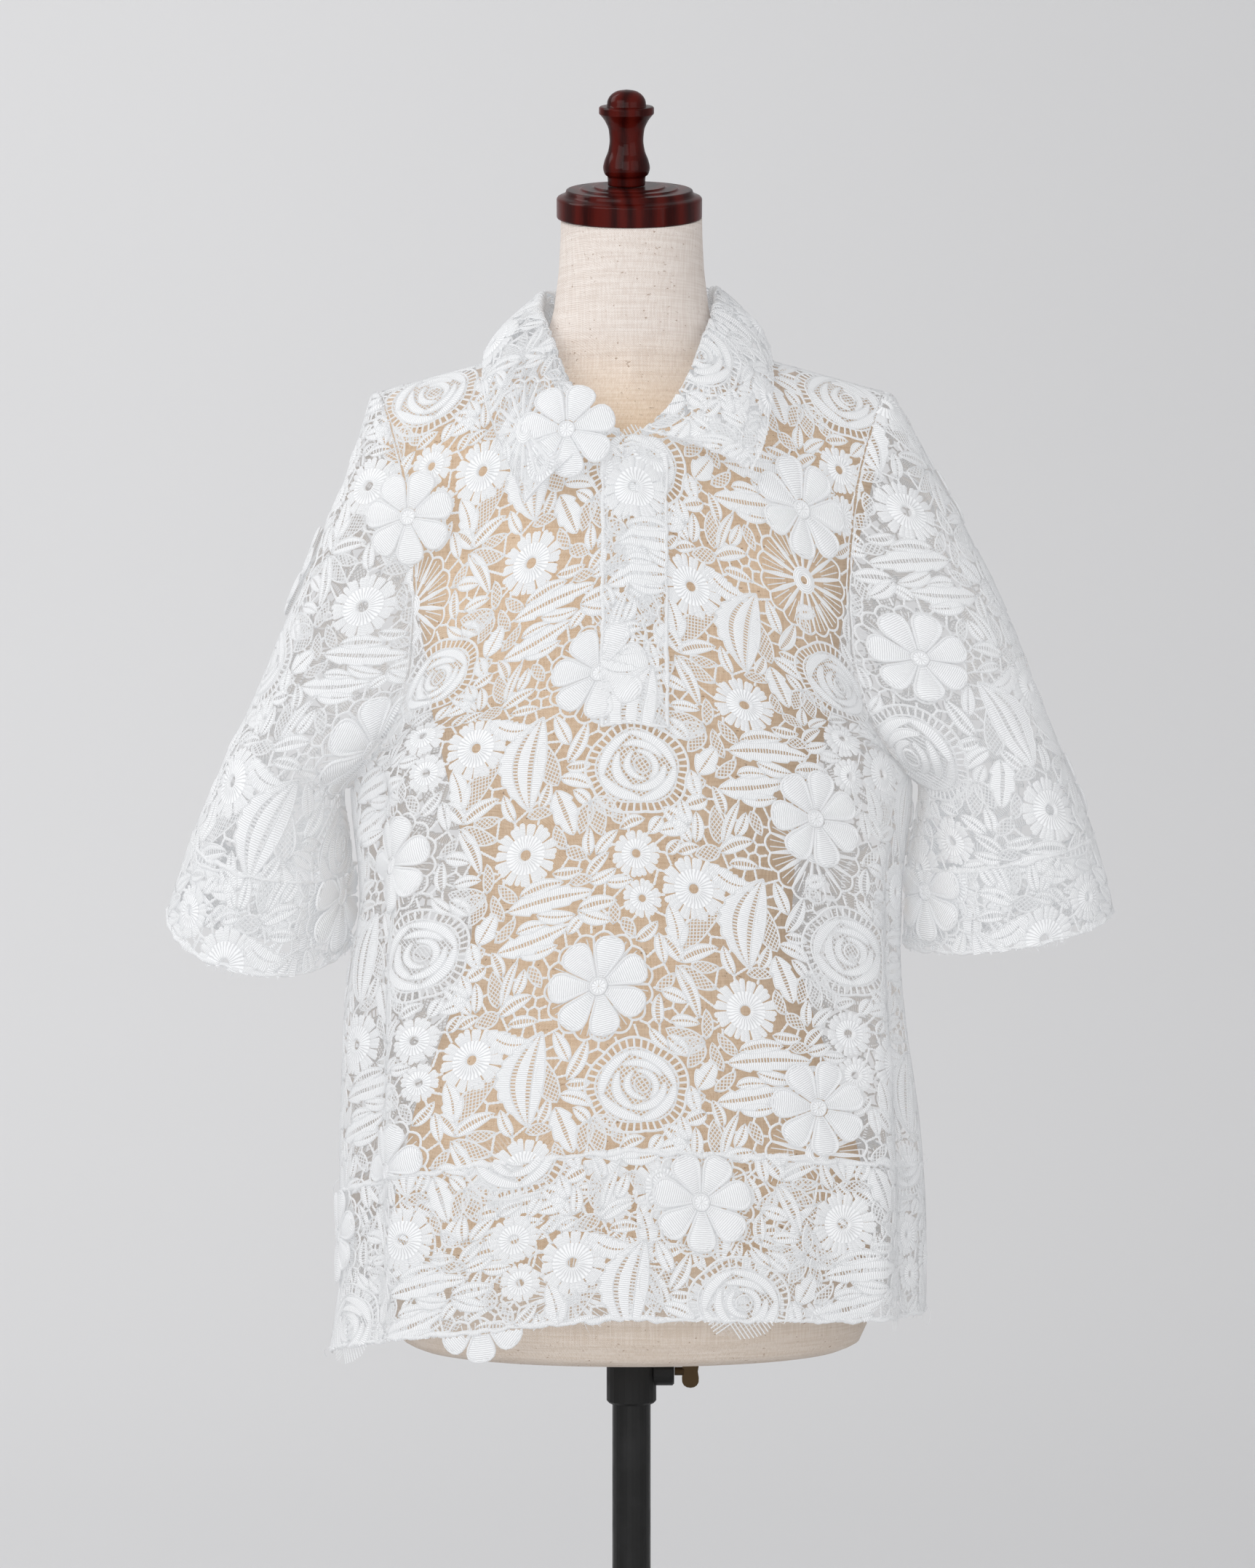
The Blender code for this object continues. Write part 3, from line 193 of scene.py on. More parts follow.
# %% Form levels
FORM_COLUMNS = "z wide front back square"
FORM_ROWS = [
    (721.0, 150.0, 102.0, 102.0, 2.1),
    (725.0, 160.0, 111.0, 111.0, 2.1),
    (738.0, 166.0, 117.0, 117.0, 2.1),
    (780.0, 168.0, 119.0, 119.0, 2.1),
    (830.0, 166.0, 117.0, 118.0, 2.1),
    (890.0, 152.0, 108.0, 108.0, 2.1),
    (950.0, 129.0, 96.0, 90.0, 2.1),
    (1010.0, 112.0, 89.0, 78.0, 2.1),
    (1060.0, 115.0, 93.0, 82.0, 2.1),
    (1110.0, 127.0, 104.0, 88.0, 2.15),
    (1165.0, 140.0, 115.0, 94.0, 2.2),
    (1220.0, 147.0, 108.0, 97.0, 2.2),
    (1275.0, 157.0, 93.0, 96.0, 2.2),
    (1320.0, 168.0, 76.0, 88.0, 2.1),
    (1352.0, 175.0, 66.0, 77.0, 1.95),
    (1375.0, 176.0, 57.0, 63.0, 1.6),
    (1391.1, 172.0, 51.0, 54.0, 1.25),
    (1398.0, 146.6, 50.0, 51.0, 1.15),
    (1405.0, 120.9, 49.5, 50.0, 1.15),
    (1412.0, 95.2, 49.5, 49.5, 1.25),
    (1418.3, 72.0, 50.0, 50.0, 1.6),
    (1430.0, 60.0, 51.0, 49.5, 2.0),
    (1450.0, 54.5, 52.5, 46.0, 2.0),
    (1477.0, 51.0, 56.0, 41.5, 2.0),
    (1499.0, 49.8, 59.5, 37.5, 2.0),
    (1513.0, 49.5, 62.0, 35.5, 2.0),
]
FORM = table(FORM_COLUMNS, FORM_ROWS)
NECK_TILT = math.radians(17.0)
NECK_START = 1430.0
CLEAR = 4.1


def form_depth(x, z, back):
    wide, front, behind, square = [np.interp(z, FORM["z"], FORM[name])
                                   for name in ("wide", "front", "back", "square")]
    share = np.clip(np.abs(x) / wide, 0, 1)
    depth = (behind if back else front) * (1 - share ** square) ** (1 / square)
    return np.where((z < FORM["z"][0]) | (z > NECK_START), 0.0, depth)


print("form is", 2 * FORM["wide"].max(), "mm wide")

# %% [markdown]
# ## Front and back
# Each row is one level of the worn cloth, from the middle out to the side seam or the armhole.
# Upright folds are soft ridges pushed out from the pole, and fade towards the side seams.

# %% Body rows
BODY_COLUMNS = "v mid_y mid_z edge_x edge_x_left edge_y edge_z mid_pull pull_x pull_y"
FRONT_ROWS = [
    (0.0, -149.0, 760.0, 206.0, 211.0, 0.0, 747.0, 0.64, 0.0, -92.0),
    (62.0, -148.0, 822.0, 206.0, 204.0, 0.0, 803.0, 0.64, 0.0, -92.0),
    (125.0, -146.0, 885.0, 203.0, 204.0, 0.0, 860.0, 0.64, 0.0, -90.0),
    (225.0, -142.0, 985.0, 192.0, 202.0, 0.0, 950.0, 0.64, 0.0, -88.0),
    (275.0, -139.5, 1035.0, 188.0, 196.0, 0.0, 995.0, 0.64, 0.0, -86.0),
    (325.0, -136.0, 1085.0, 189.0, 190.0, 0.0, 1040.0, 0.64, 0.0, -84.0),
    (408.0, -129.0, 1168.0, 197.0, 197.0, 0.0, 1115.0, 0.60, -8.0, -76.0),
    (434.0, -126.5, 1193.0, 178.0, 178.0, -50.0, 1136.0, 0.50, -14.0, -40.0),
    (469.0, -121.5, 1228.0, 160.0, 160.0, -69.0, 1166.0, 0.45, -28.0, -36.0),
    (510.0, -115.0, 1268.0, 150.0, 150.0, -72.0, 1205.0, 0.45, -36.0, -33.0),
    (554.0, -104.0, 1311.0, 148.0, 148.0, -69.0, 1250.0, 0.45, -38.0, -28.0),
    (597.0, -90.0, 1352.0, 151.0, 151.0, -62.0, 1293.0, 0.42, -38.0, -22.0),
    (625.0, -78.5, 1379.0, 155.0, 155.0, -56.0, 1322.0, 0.40, -40.0, -17.0),
    (661.0, -60.0, 1409.5, 163.0, 163.0, -45.0, 1354.0, 0.38, -45.0, -12.0),
    (688.0, -40.5, 1428.0, 170.0, 170.0, -32.0, 1375.5, 0.36, -50.0, -7.0),
    (710.0, -20.5, 1438.2, 175.0, 175.0, -16.0, 1388.5, 0.34, -55.0, -3.0),
    (731.0, 0.0, 1439.9, 178.0, 178.0, 0.0, 1391.5, 0.333, -59.3, 0.0),
]
BACK_ROWS = [
    (0.0, 144.0, 748.0, 206.0, 211.0, 0.0, 747.0, 0.60, 0.0, 86.0),
    (62.0, 143.0, 810.0, 206.0, 204.0, 0.0, 803.0, 0.60, 0.0, 86.0),
    (125.0, 141.0, 873.0, 203.0, 204.0, 0.0, 860.0, 0.60, 0.0, 85.0),
    (225.0, 135.0, 973.0, 192.0, 202.0, 0.0, 950.0, 0.60, 0.0, 82.0),
    (275.0, 131.0, 1022.0, 188.0, 196.0, 0.0, 995.0, 0.60, 0.0, 79.0),
    (325.0, 127.0, 1072.0, 189.0, 190.0, 0.0, 1040.0, 0.60, 0.0, 76.0),
    (408.0, 120.0, 1153.0, 197.0, 197.0, 0.0, 1115.0, 0.58, 0.0, 70.0),
    (437.0, 117.0, 1182.0, 179.0, 179.0, 54.0, 1138.0, 0.50, -14.0, 42.0),
    (477.0, 112.5, 1222.0, 164.0, 164.0, 74.0, 1169.0, 0.45, -27.0, 34.0),
    (524.0, 106.5, 1268.0, 157.0, 157.0, 79.0, 1212.0, 0.45, -36.0, 27.0),
    (572.0, 98.0, 1316.0, 156.0, 156.0, 75.0, 1260.0, 0.43, -38.0, 20.0),
    (610.0, 90.0, 1352.0, 159.0, 159.0, 67.0, 1298.0, 0.42, -40.0, 15.0),
    (644.0, 82.0, 1385.0, 164.0, 164.0, 56.0, 1331.0, 0.40, -44.0, 12.0),
    (675.0, 67.0, 1412.5, 169.0, 169.0, 44.0, 1359.5, 0.38, -48.0, 8.0),
    (702.0, 46.5, 1430.5, 173.5, 173.5, 30.0, 1378.5, 0.36, -52.0, 5.0),
    (727.0, 22.0, 1438.7, 176.5, 176.5, 14.0, 1389.5, 0.34, -56.0, 2.0),
    (749.0, 0.0, 1439.9, 178.0, 178.0, 0.0, 1391.5, 0.333, -59.3, 0.0),
]
LEFT_HEM_DROP = 31.0
DROP_TOP = 400.0
BODY_REACH = 332.0
BELOW_HEM = 40.0

print("front and back have", len(FRONT_ROWS), "levels each")

# %% [markdown]
# The upright folds are few and soft. The left hem hangs lower than the right one in the photograph, so that side
# drops a little more towards its seam. Where the cloth would cut into the form, it is pushed out to clear it.

# %% Bending the body pieces
# Soft upright folds of the body: place across, half width, rise (or dip), and where each starts and ends
FRONT_FOLDS = [
    (-158.0, 24.0, 9.0, -60.0, 470.0),
    (-196.0, 20.0, -9.0, -60.0, 430.0),
    (-112.0, 30.0, 7.0, -90.0, 190.0),
    (178.0, 22.0, 8.0, -60.0, 385.0),
    (214.0, 18.0, -6.0, -60.0, 350.0),
    (60.0, 34.0, -3.0, -60.0, 300.0),
]
BACK_FOLDS = [
    (-165.0, 26.0, 8.0, -60.0, 440.0),
    (-120.0, 24.0, -6.0, -60.0, 420.0),
    (-30.0, 30.0, -7.0, -60.0, 380.0),
    (70.0, 30.0, 6.0, -60.0, 430.0),
    (185.0, 24.0, 8.0, -60.0, 420.0),
    (222.0, 18.0, -6.0, -60.0, 380.0),
]


def body_cloth(rows, folds, back):
    columns = table(BODY_COLUMNS, rows)
    top = rows[-1][0]
    us = np.arange(-BODY_REACH, BODY_REACH + 1, GRID_STEP)
    vs = np.linspace(-BELOW_HEM, top, int((top + BELOW_HEM) / GRID_STEP) + 1)
    points = np.zeros((len(vs), len(us), 3))
    widths = np.zeros((2, len(vs)))
    for i, v in enumerate(vs):
        for left in (0, 1):
            mid_y, mid_z, edge_y, edge_z, mid_pull, pull_x, pull_y = read(
                columns, "v", v, "mid_y mid_z edge_y edge_z mid_pull pull_x pull_y")
            edge_x = smooth(v, columns["v"], columns["edge_x_left" if left else "edge_x"])
            rise = edge_z - mid_z
            corners = np.array([(0, mid_y, mid_z), (mid_pull * edge_x, mid_y, mid_z + rise / 3),
                                (edge_x + pull_x, edge_y + pull_y, mid_z + rise * 2 / 3),
                                (edge_x, edge_y, edge_z)])
            at = us < 0 if left else us >= 0
            spots, share, widths[left, i] = along(corners, np.abs(us[at]))
            if left:
                spots[:, 0] *= -1
                spots[:, 2] -= LEFT_HEM_DROP * share ** 1.5 * max(0.0, 1 - v / DROP_TOP)
            spots[:, 2] += min(v, 0)
            fade = np.clip((1 - share) * 6, 0, 1)
            lift = np.zeros(len(share))
            for place, half, high, low, end in folds:
                run = (v - low) / (end - low)
                if 0 < run < 1:
                    lift += high * np.exp(-((us[at] - place) / half) ** 2) * math.sin(math.pi * run) ** 0.5
            lift *= fade * fade * (3 - 2 * fade)
            reach = np.maximum(np.hypot(spots[:, 0], spots[:, 1]), SHORT)
            spots[:, :2] *= (1 + lift / reach)[:, None]
            depth = form_depth(spots[:, 0], spots[:, 2], back)
            needed = depth + np.minimum(1, depth / 20) * CLEAR
            near = np.abs(spots[:, 1]) < needed
            spots[near, 1] = needed[near] * (1 if back else -1)
            points[i, at] = spots
    middle = len(us) // 2
    cloth = Cloth(us, vs, points, (60, middle, (0, 1 if back else -1, 0)))
    cloth.top, cloth.widths = top, widths
    return cloth


front = body_cloth(FRONT_ROWS, FRONT_FOLDS, False)
back = body_cloth(BACK_ROWS, BACK_FOLDS, True)
print("front grid", front.points.shape, "back grid", back.points.shape)

# %% [markdown]
# ## Sleeves
# A sleeve is one piece with its seam under the arm. v rises from the cuff's edge, and u runs round the arm,
# positive towards the front. The left cuff hangs lower and closer to the body than the right one.

# %% Sleeve rows
SLEEVE_COLUMNS = "v top_x top_z edge_x edge_y edge_z top_pull top_dip pull_x pull_y pull_z"
SLEEVE_FRONT_ROWS = [
    (0.0, 338.0, 1028.0, 192.5, 0.0, 1003.0, 86.0, -14.0, 22.0, -86.0, -16.0),
    (55.0, 324.0, 1082.0, 194.5, 0.0, 1058.0, 92.0, -12.0, 14.0, -94.0, -12.0),
    (112.0, 302.0, 1138.0, 203.2, 0.0, 1115.0, 92.0, -9.0, 9.0, -94.0, -8.0),
    (135.0, 293.0, 1161.0, 184.6, -50.5, 1135.0, 78.0, -8.0, 15.0, -42.0, -6.0),
    (160.0, 284.0, 1184.0, 162.6, -70.0, 1166.0, 70.0, -6.0, 30.0, -26.0, -8.0),
    (205.0, 268.0, 1226.0, 152.2, -72.8, 1205.0, 62.0, -4.0, 40.0, -15.0, -6.0),
    (250.0, 248.0, 1269.0, 149.8, -69.5, 1250.0, 54.0, -2.0, 37.0, -9.0, -3.0),
    (290.0, 229.0, 1305.0, 152.7, -62.3, 1293.0, 45.0, 0.0, 30.0, -6.0, 0.0),
    (318.0, 215.0, 1331.0, 156.7, -56.2, 1321.5, 38.0, 0.0, 24.0, -5.0, 0.0),
    (350.0, 200.5, 1359.0, 164.7, -45.2, 1354.0, 28.0, 0.0, 16.0, -5.0, 0.0),
    (372.0, 191.0, 1376.5, 171.7, -32.2, 1375.5, 19.0, 0.0, 9.0, -4.0, 0.0),
    (388.0, 184.5, 1387.5, 176.6, -16.1, 1388.5, 9.0, 0.0, 4.0, -3.0, 0.0),
    (400.0, 179.6, 1391.5, 179.6, 0.0, 1391.5, 0.5, 0.0, 0.0, -0.5, 0.0),
]
SLEEVE_BACK_ROWS = [
    (0.0, 338.0, 1028.0, 192.5, 0.0, 1003.0, 80.0, -16.0, 26.0, -82.0, -8.0),
    (55.0, 324.0, 1082.0, 194.5, 0.0, 1058.0, 88.0, -14.0, 16.0, -92.0, -8.0),
    (112.0, 302.0, 1138.0, 203.2, 0.0, 1115.0, 92.0, -10.0, 9.0, -96.0, -6.0),
    (135.0, 293.0, 1161.0, 182.8, -54.5, 1138.0, 80.0, -8.0, 12.0, -42.0, -6.0),
    (160.0, 284.0, 1184.0, 166.6, -75.0, 1169.0, 74.0, -6.0, 30.0, -24.0, -8.0),
    (205.0, 268.0, 1226.0, 159.2, -79.8, 1212.0, 68.0, -4.0, 38.0, -13.0, -6.0),
    (250.0, 248.0, 1269.0, 157.8, -75.5, 1260.0, 60.0, -2.0, 35.0, -8.0, -3.0),
    (290.0, 229.0, 1305.0, 160.7, -67.3, 1298.0, 50.0, 0.0, 28.0, -6.0, 0.0),
    (318.0, 215.0, 1331.0, 165.7, -56.2, 1331.0, 40.0, 0.0, 22.0, -5.0, 0.0),
    (350.0, 200.5, 1359.0, 170.7, -44.2, 1359.5, 29.0, 0.0, 14.0, -5.0, 0.0),
    (372.0, 191.0, 1376.5, 175.2, -30.2, 1378.5, 18.0, 0.0, 8.0, -4.0, 0.0),
    (388.0, 184.5, 1387.5, 178.2, -14.1, 1389.5, 8.0, 0.0, 3.0, -3.0, 0.0),
    (400.0, 179.6, 1391.5, 179.6, 0.0, 1391.5, 0.5, 0.0, 0.0, -0.5, 0.0),
]
print("sleeve halves have", len(SLEEVE_FRONT_ROWS), "levels each")

# %% [markdown]
# Both sleeves come from the same rows. The left one is mirrored, drawn in along its outer side and let down at
# its cuff, and a slight ripple runs round each.

# %% Bending the sleeves
SLEEVE_LENGTH = 400.0
UNDERARM_V = 112.0
LEFT_HOLLOW = 24.0
LEFT_CUFF_DIP = 24.0
LEFT_CUFF_INNER = 5.5
LEFT_CUFF_OUTER = 12.0
SLEEVE_REACH = 260.0
BELOW_CUFF = 16.0
SLEEVE_LEVELS = 104
SLEEVE_RIPPLE = 5.0
RIPPLE_TOP = 300.0


def sleeve_cloth(left):
    us = np.arange(-SLEEVE_REACH, SLEEVE_REACH + 1, GRID_STEP)
    vs = np.linspace(-BELOW_CUFF, SLEEVE_LENGTH - 0.5, SLEEVE_LEVELS)
    points = np.zeros((len(vs), len(us), 3))
    widths = np.zeros((2, len(vs)))
    for i, v in enumerate(vs):
        held = max(v, 0.0)
        for back in (0, 1):
            columns = table(SLEEVE_COLUMNS, SLEEVE_BACK_ROWS if back else SLEEVE_FRONT_ROWS)
            (top_x, top_z, edge_x, edge_y, edge_z, top_pull, top_dip, pull_x, pull_y, pull_z) = read(
                columns, "v", held, "top_x top_z edge_x edge_y edge_z top_pull top_dip pull_x pull_y pull_z")
            if left:
                low = max(0.0, 1 - held / UNDERARM_V)
                hollow = LEFT_HOLLOW * math.sin(math.pi * min(held / SLEEVE_LENGTH, 1.0))
                top_x -= hollow + LEFT_CUFF_OUTER * low
                edge_x += LEFT_CUFF_INNER * low
                if not back:
                    top_dip -= LEFT_CUFF_DIP * low
                    pull_z -= LEFT_CUFF_DIP * low
            corners = np.array([(top_x, 0, top_z), (top_x, -top_pull, top_z + top_dip),
                                (edge_x + pull_x, edge_y + pull_y, edge_z + pull_z),
                                (edge_x, edge_y, edge_z)])
            at = us < 0 if back else us >= 0
            spots, share, widths[back, i] = along(corners, np.abs(us[at]))
            swell = SLEEVE_RIPPLE * math.sin(math.pi * min(max(v / RIPPLE_TOP, 0), 1))
            ripple = swell * np.sin(2 * math.pi * share)
            spots[:, 1] -= ripple * np.minimum(1, np.abs(us[at]) / 30)
            spots[:, 2] += v - held
            if back:
                spots[:, 1] *= -1
            if left:
                spots[:, 0] *= -1
            points[i, at] = spots
    middle = len(us) // 2
    cloth = Cloth(us, vs, points, (40, middle, (-1 if left else 1, 0, 0)))
    cloth.widths = widths
    return cloth


sleeve_left, sleeve_right = sleeve_cloth(True), sleeve_cloth(False)
print("sleeve grid", sleeve_left.points.shape)

# %% [markdown]
# ## Collar
# A collar stands up round the neck and folds over itself. Sections from the left front end round the back to
# the right one give the seam, the top of the roll and the outer edge, and one sheet runs through them:
# v is measured from the outer edge up over the roll and down inside to the neck seam.

# %% Collar rows
COLLAR_COLUMNS = "s seam_x seam_y seam_z roll_x roll_y roll_z fall_x fall_y fall_z"
COLLAR_ROWS = [
    (0.0, -8.0, -93.0, 1353.0, -9.0, -97.5, 1355.5, -72.0, -123.0, 1304.0),
    (1.0, -25.0, -86.5, 1360.0, -27.0, -88.0, 1370.0, -79.0, -114.0, 1321.0),
    (2.0, -48.0, -70.0, 1380.0, -47.0, -69.0, 1398.0, -91.0, -95.0, 1351.0),
    (3.0, -60.0, -45.0, 1408.0, -57.0, -43.0, 1428.0, -103.0, -57.0, 1393.0),
    (4.0, -70.0, -8.0, 1424.5, -65.0, -9.0, 1450.0, -102.0, -7.0, 1420.5),
    (5.0, -65.0, 25.0, 1424.5, -64.0, 24.0, 1464.0, -85.0, 42.0, 1429.0),
    (6.0, -37.0, 50.0, 1421.0, -38.0, 50.0, 1469.0, -47.0, 78.0, 1424.0),
    (7.0, 0.0, 60.0, 1419.0, 0.0, 60.0, 1471.0, 0.0, 88.0, 1420.0),
    (8.0, 37.0, 50.0, 1421.0, 37.0, 50.0, 1471.0, 46.0, 78.0, 1427.0),
    (9.0, 65.0, 25.0, 1424.5, 61.0, 24.0, 1468.0, 82.0, 41.0, 1436.0),
    (10.0, 70.0, -8.0, 1424.5, 60.0, -9.0, 1454.0, 95.0, -8.0, 1425.5),
    (11.0, 60.0, -45.0, 1408.0, 53.0, -43.0, 1430.0, 98.0, -53.0, 1397.0),
    (12.0, 48.0, -70.0, 1380.0, 42.0, -69.0, 1399.0, 93.0, -89.0, 1361.0),
    (13.0, 25.0, -86.5, 1360.0, 24.0, -88.0, 1370.5, 88.0, -107.0, 1341.0),
    (14.0, 8.0, -93.0, 1353.0, 7.0, -97.5, 1355.5, 81.0, -116.0, 1326.0),
]
print("collar has", len(COLLAR_ROWS), "sections")

# %% [markdown]
# Between two sections the collar is blended. Its fall bulges outwards a little, as a thick doubled cloth does
# when it is turned over, and its lengths are measured along the middle of the fall.

# %% Bending the collar
COLLAR_STEPS = 96
COLLAR_DEEPEST = 140.0
COLLAR_LEVEL = 2.5
COLLAR_THICK = 2.4
COLLAR_BULGE = 5
DROP_STATIONS = 13


def collar_cloth():
    columns = table(COLLAR_COLUMNS, COLLAR_ROWS)
    lines = []
    for turn in np.linspace(0, COLLAR_ROWS[-1][0], COLLAR_STEPS + 1):
        values = [float(x) for x in read(columns, "s", turn, COLLAR_COLUMNS[2:])]
        seam, roll, fall = (np.array(values[k:k + 3]) for k in (0, 3, 6))
        out = (fall - roll) * (1, 1, 0)
        out /= np.linalg.norm(out)
        bulge = (roll + fall) / 2 + out * COLLAR_BULGE + (0, 0, 3)
        over = roll + out * COLLAR_THICK
        bend = 2 * bulge - (over + fall) / 2
        t = np.linspace(1, 0, DROP_STATIONS)[:, None]
        drop = (1 - t) ** 2 * over + 2 * (1 - t) * t * bend + t ** 2 * fall
        high = min(1.0, np.linalg.norm(roll - seam) / 20)
        rest = [roll + out * 1.0 + (0, 0, 1.4), roll - out * 1.0 + (0, 0, 1.2),
                roll - out * 2.2 * high - (0, 0, 1.5 * high), seam - out * 0.2]
        lines.append(np.concatenate([drop, rest]))
    lengths = steps_along(np.array([line[DROP_STATIONS // 2] for line in lines]))
    deep = [steps_along(line) for line in lines]
    us = np.linspace(0, lengths[-1], COLLAR_STEPS + 1)
    vs = np.arange(0, COLLAR_DEEPEST, COLLAR_LEVEL)
    points = np.zeros((len(vs), len(us), 3))
    tops = np.zeros(len(us))
    for k, u in enumerate(us):
        spot = np.interp(u, lengths, np.arange(len(lengths)))
        i = min(int(spot), len(lines) - 2)
        f = spot - i
        line = lines[i] * (1 - f) + lines[i + 1] * f
        far = deep[i] * (1 - f) + deep[i + 1] * f
        tops[k] = far[-1]
        for axis in range(3):
            points[:, k, axis] = np.interp(vs, far, line[:, axis])
        over_far = np.maximum(vs - far[-1], 0)
        points[:, k] += over_far[:, None] * (line[-1] - line[-2]) / np.linalg.norm(line[-1] - line[-2])
    cloth = Cloth(us, vs, points, (6, COLLAR_STEPS // 2, (0, 1, 0)))
    cloth.top = tops
    return cloth


collar = collar_cloth()
print("collar is", round(float(collar.us[-1])), "mm round and", round(float(collar.top.max())), "mm deep in all")

# %% [markdown]
# ### Creases
# Heavy lace folds softly. Short diagonal folds start under the arms, the doubled band waves between its
# stitches, and the sleeves fold over the cuffs. Each row is a start, an end, a half width and a rise.

# %% Creases
FRONT_CREASES = [
    (-238, 372, -170, 318, 8, 3.6), (-226, 336, -186, 300, 7, -2.4), (-205, 420, -160, 372, 7, 3.0),
    (-158, 470, -128, 410, 8, 2.6), (206, 372, 168, 312, 9, 3.2), (176, 430, 150, 372, 8, 2.6),
    (-168, 20, -152, 108, 9, 3.2), (-122, 4, -112, 92, 12, 3.6), (-84, 0, -92, 84, 9, -2.4),
    (-44, 2, -36, 96, 13, 2.6), (22, 0, 14, 74, 10, -2.2), (74, 0, 66, 100, 13, 3.0), (128, 6, 138, 96, 10, -2.4),
    (176, 0, 168, 104, 10, 3.4), (-60, 176, -10, 150, 10, 1.8), (92, 240, 152, 214, 10, 1.8),
    (-120, 262, -72, 236, 9, 1.8), (30, 330, 84, 346, 9, 1.6), (-100, 500, -44, 470, 9, 1.6),
    (60, 470, 116, 492, 9, 1.6), (-14, 410, 20, 428, 4.5, 1.6), (-12, 452, 18, 444, 4, -1.2),
    (-14, 486, 20, 500, 4.5, 1.5), (-10, 530, 18, 520, 4, -1.2), (-12, 562, 18, 572, 4.5, 1.4),
]
BACK_CREASES = [
    (-230, 372, -168, 316, 9, 3.4), (-190, 430, -150, 378, 8, 2.8), (206, 372, 160, 316, 9, 3.4),
    (180, 436, 148, 380, 8, 2.6), (-176, 6, -160, 104, 10, 3.2), (-116, 0, -124, 90, 12, 3.2),
    (-58, 2, -50, 96, 11, -2.4), (0, 0, 8, 80, 13, 2.8), (58, 0, 50, 98, 10, -2.2), (112, 0, 120, 100, 13, 3.2),
    (172, 4, 166, 104, 10, 3.2), (-80, 220, -20, 246, 10, 1.8), (40, 300, 100, 280, 10, 1.8),
    (-60, 420, 10, 400, 10, 1.8), (-90, 600, -30, 618, 9, 1.6), (30, 612, 92, 596, 9, 1.6),
]
SLEEVE_CREASES = [
    (30, 60, 96, 74, 8, 3.0), (104, 66, 150, 96, 8, 3.2), (150, 110, 196, 136, 8, 3.0), (96, 150, 150, 190, 9, 2.4),
    (40, 200, 84, 236, 10, 2.2), (-40, 64, -104, 78, 8, 3.0), (-112, 70, -160, 102, 8, 3.0),
    (-150, 120, -190, 150, 8, 2.6), (-50, 190, -100, 232, 10, 2.2), (20, 2, 34, 52, 9, 2.6),
    (84, 2, 76, 52, 9, -2.2),
    (128, 2, 140, 52, 9, 2.6), (-36, 2, -28, 52, 9, 2.4), (-92, 2, -84, 52, 9, -2.2), (-140, 2, -150, 52, 9, 2.6),
    (6, 300, 40, 270, 9, 1.8), (-10, 310, -44, 280, 9, 1.8),
]
COLLAR_CREASES = [(70, 10, 84, 44, 7, 1.8), (150, 8, 140, 50, 8, 1.6), (300, 6, 310, 48, 9, 1.6),
                  (440, 8, 452, 50, 8, 1.6), (520, 8, 506, 44, 7, 1.8)]
for cloth, creases in ((front, FRONT_CREASES), (back, BACK_CREASES), (sleeve_left, SLEEVE_CREASES),
                       (sleeve_right, SLEEVE_CREASES), (collar, COLLAR_CREASES)):
    cloth.crease(creases)
HEM_LEVEL = int(BELOW_HEM / GRID_STEP)
girth = front.widths[:, HEM_LEVEL].sum() + back.widths[:, HEM_LEVEL].sum()
print("girth at the hem", round(float(girth)), "mm")

# %% [markdown]
# The neck is cut as a curve in each flat piece. Half of it is enough, as (distance from the middle, drop below
# the top), because the other half is its mirror image.

# %% Neck seams in the flat
FRONT_NECK = [(0.0, 132.0), (22.0, 128.0), (41.0, 112.0), (56.0, 90.0), (67.0, 63.0), (73.0, 36.0),
              (76.5, 16.0), (77.5, 0.0)]
BACK_NECK = [(0.0, 66.0), (24.0, 62.0), (46.0, 50.0), (63.0, 33.0), (73.0, 15.0), (77.5, 0.0)]
print("neck is", 2 * FRONT_NECK[-1][0], "mm wide in the flat")

# %% [markdown]
# ## Threads, fills and flowers
# Guipure is built from three things: a raised cord round each shape, a filling of close stitches inside it, and
# thin bars between shapes. Each is drawn flat as a few triangles. A cord is a little roof, low at both edges and
# high in the middle, which smooth shading turns into a round thread. Every point also keeps two lengths in
# millimetres, along and across its stitches, and the material reads them to lay fine thread on top.

# %% A drawing of stitches
class Drawing:
    """Points (u, v, h), their stitch lengths, and triangles, gathered piece by piece."""

    def __init__(self):
        self.points, self.marks, self.faces, self.bases, self.count = [], [], [], [], 0

    def add(self, points, marks, faces):
        self.bases.append(self.count)
        self.points.append(np.asarray(points, float))
        self.marks.append(np.asarray(marks, float))
        self.faces.append(np.asarray(faces, int) + self.count)
        self.count += len(points)

    def joined(self):
        return np.concatenate(self.points), np.concatenate(self.marks), np.concatenate(self.faces)


def lattice_faces(rows, columns, closed=False):
    """Triangles of a grid of points, row by row; closed joins the last row to the first."""
    r = np.arange(rows if closed else rows - 1)
    a = (r[:, None] * columns + np.arange(columns - 1)).ravel()
    b = (((r + 1) % rows)[:, None] * columns + np.arange(columns - 1)).ravel()
    return np.concatenate([np.stack([a, a + 1, b + 1], 1), np.stack([a, b + 1, b], 1)])


print("a drawing can", [name for name in vars(Drawing) if not name.startswith("_")])

# %% [markdown]
# The cord and the close filling are all that is needed for most of the lace. A cord may change its width and its
# rise on the way. A filling lies between lines that run side by side, each at its own height.

# %% Cords and fillings
PLAIN_ROOF = [(-1, 0), (0, 1), (1, 0)]
ROUND_ROOF = [(-1, 0), (-0.62, 0.78), (0, 1), (0.62, 0.78), (1, 0)]


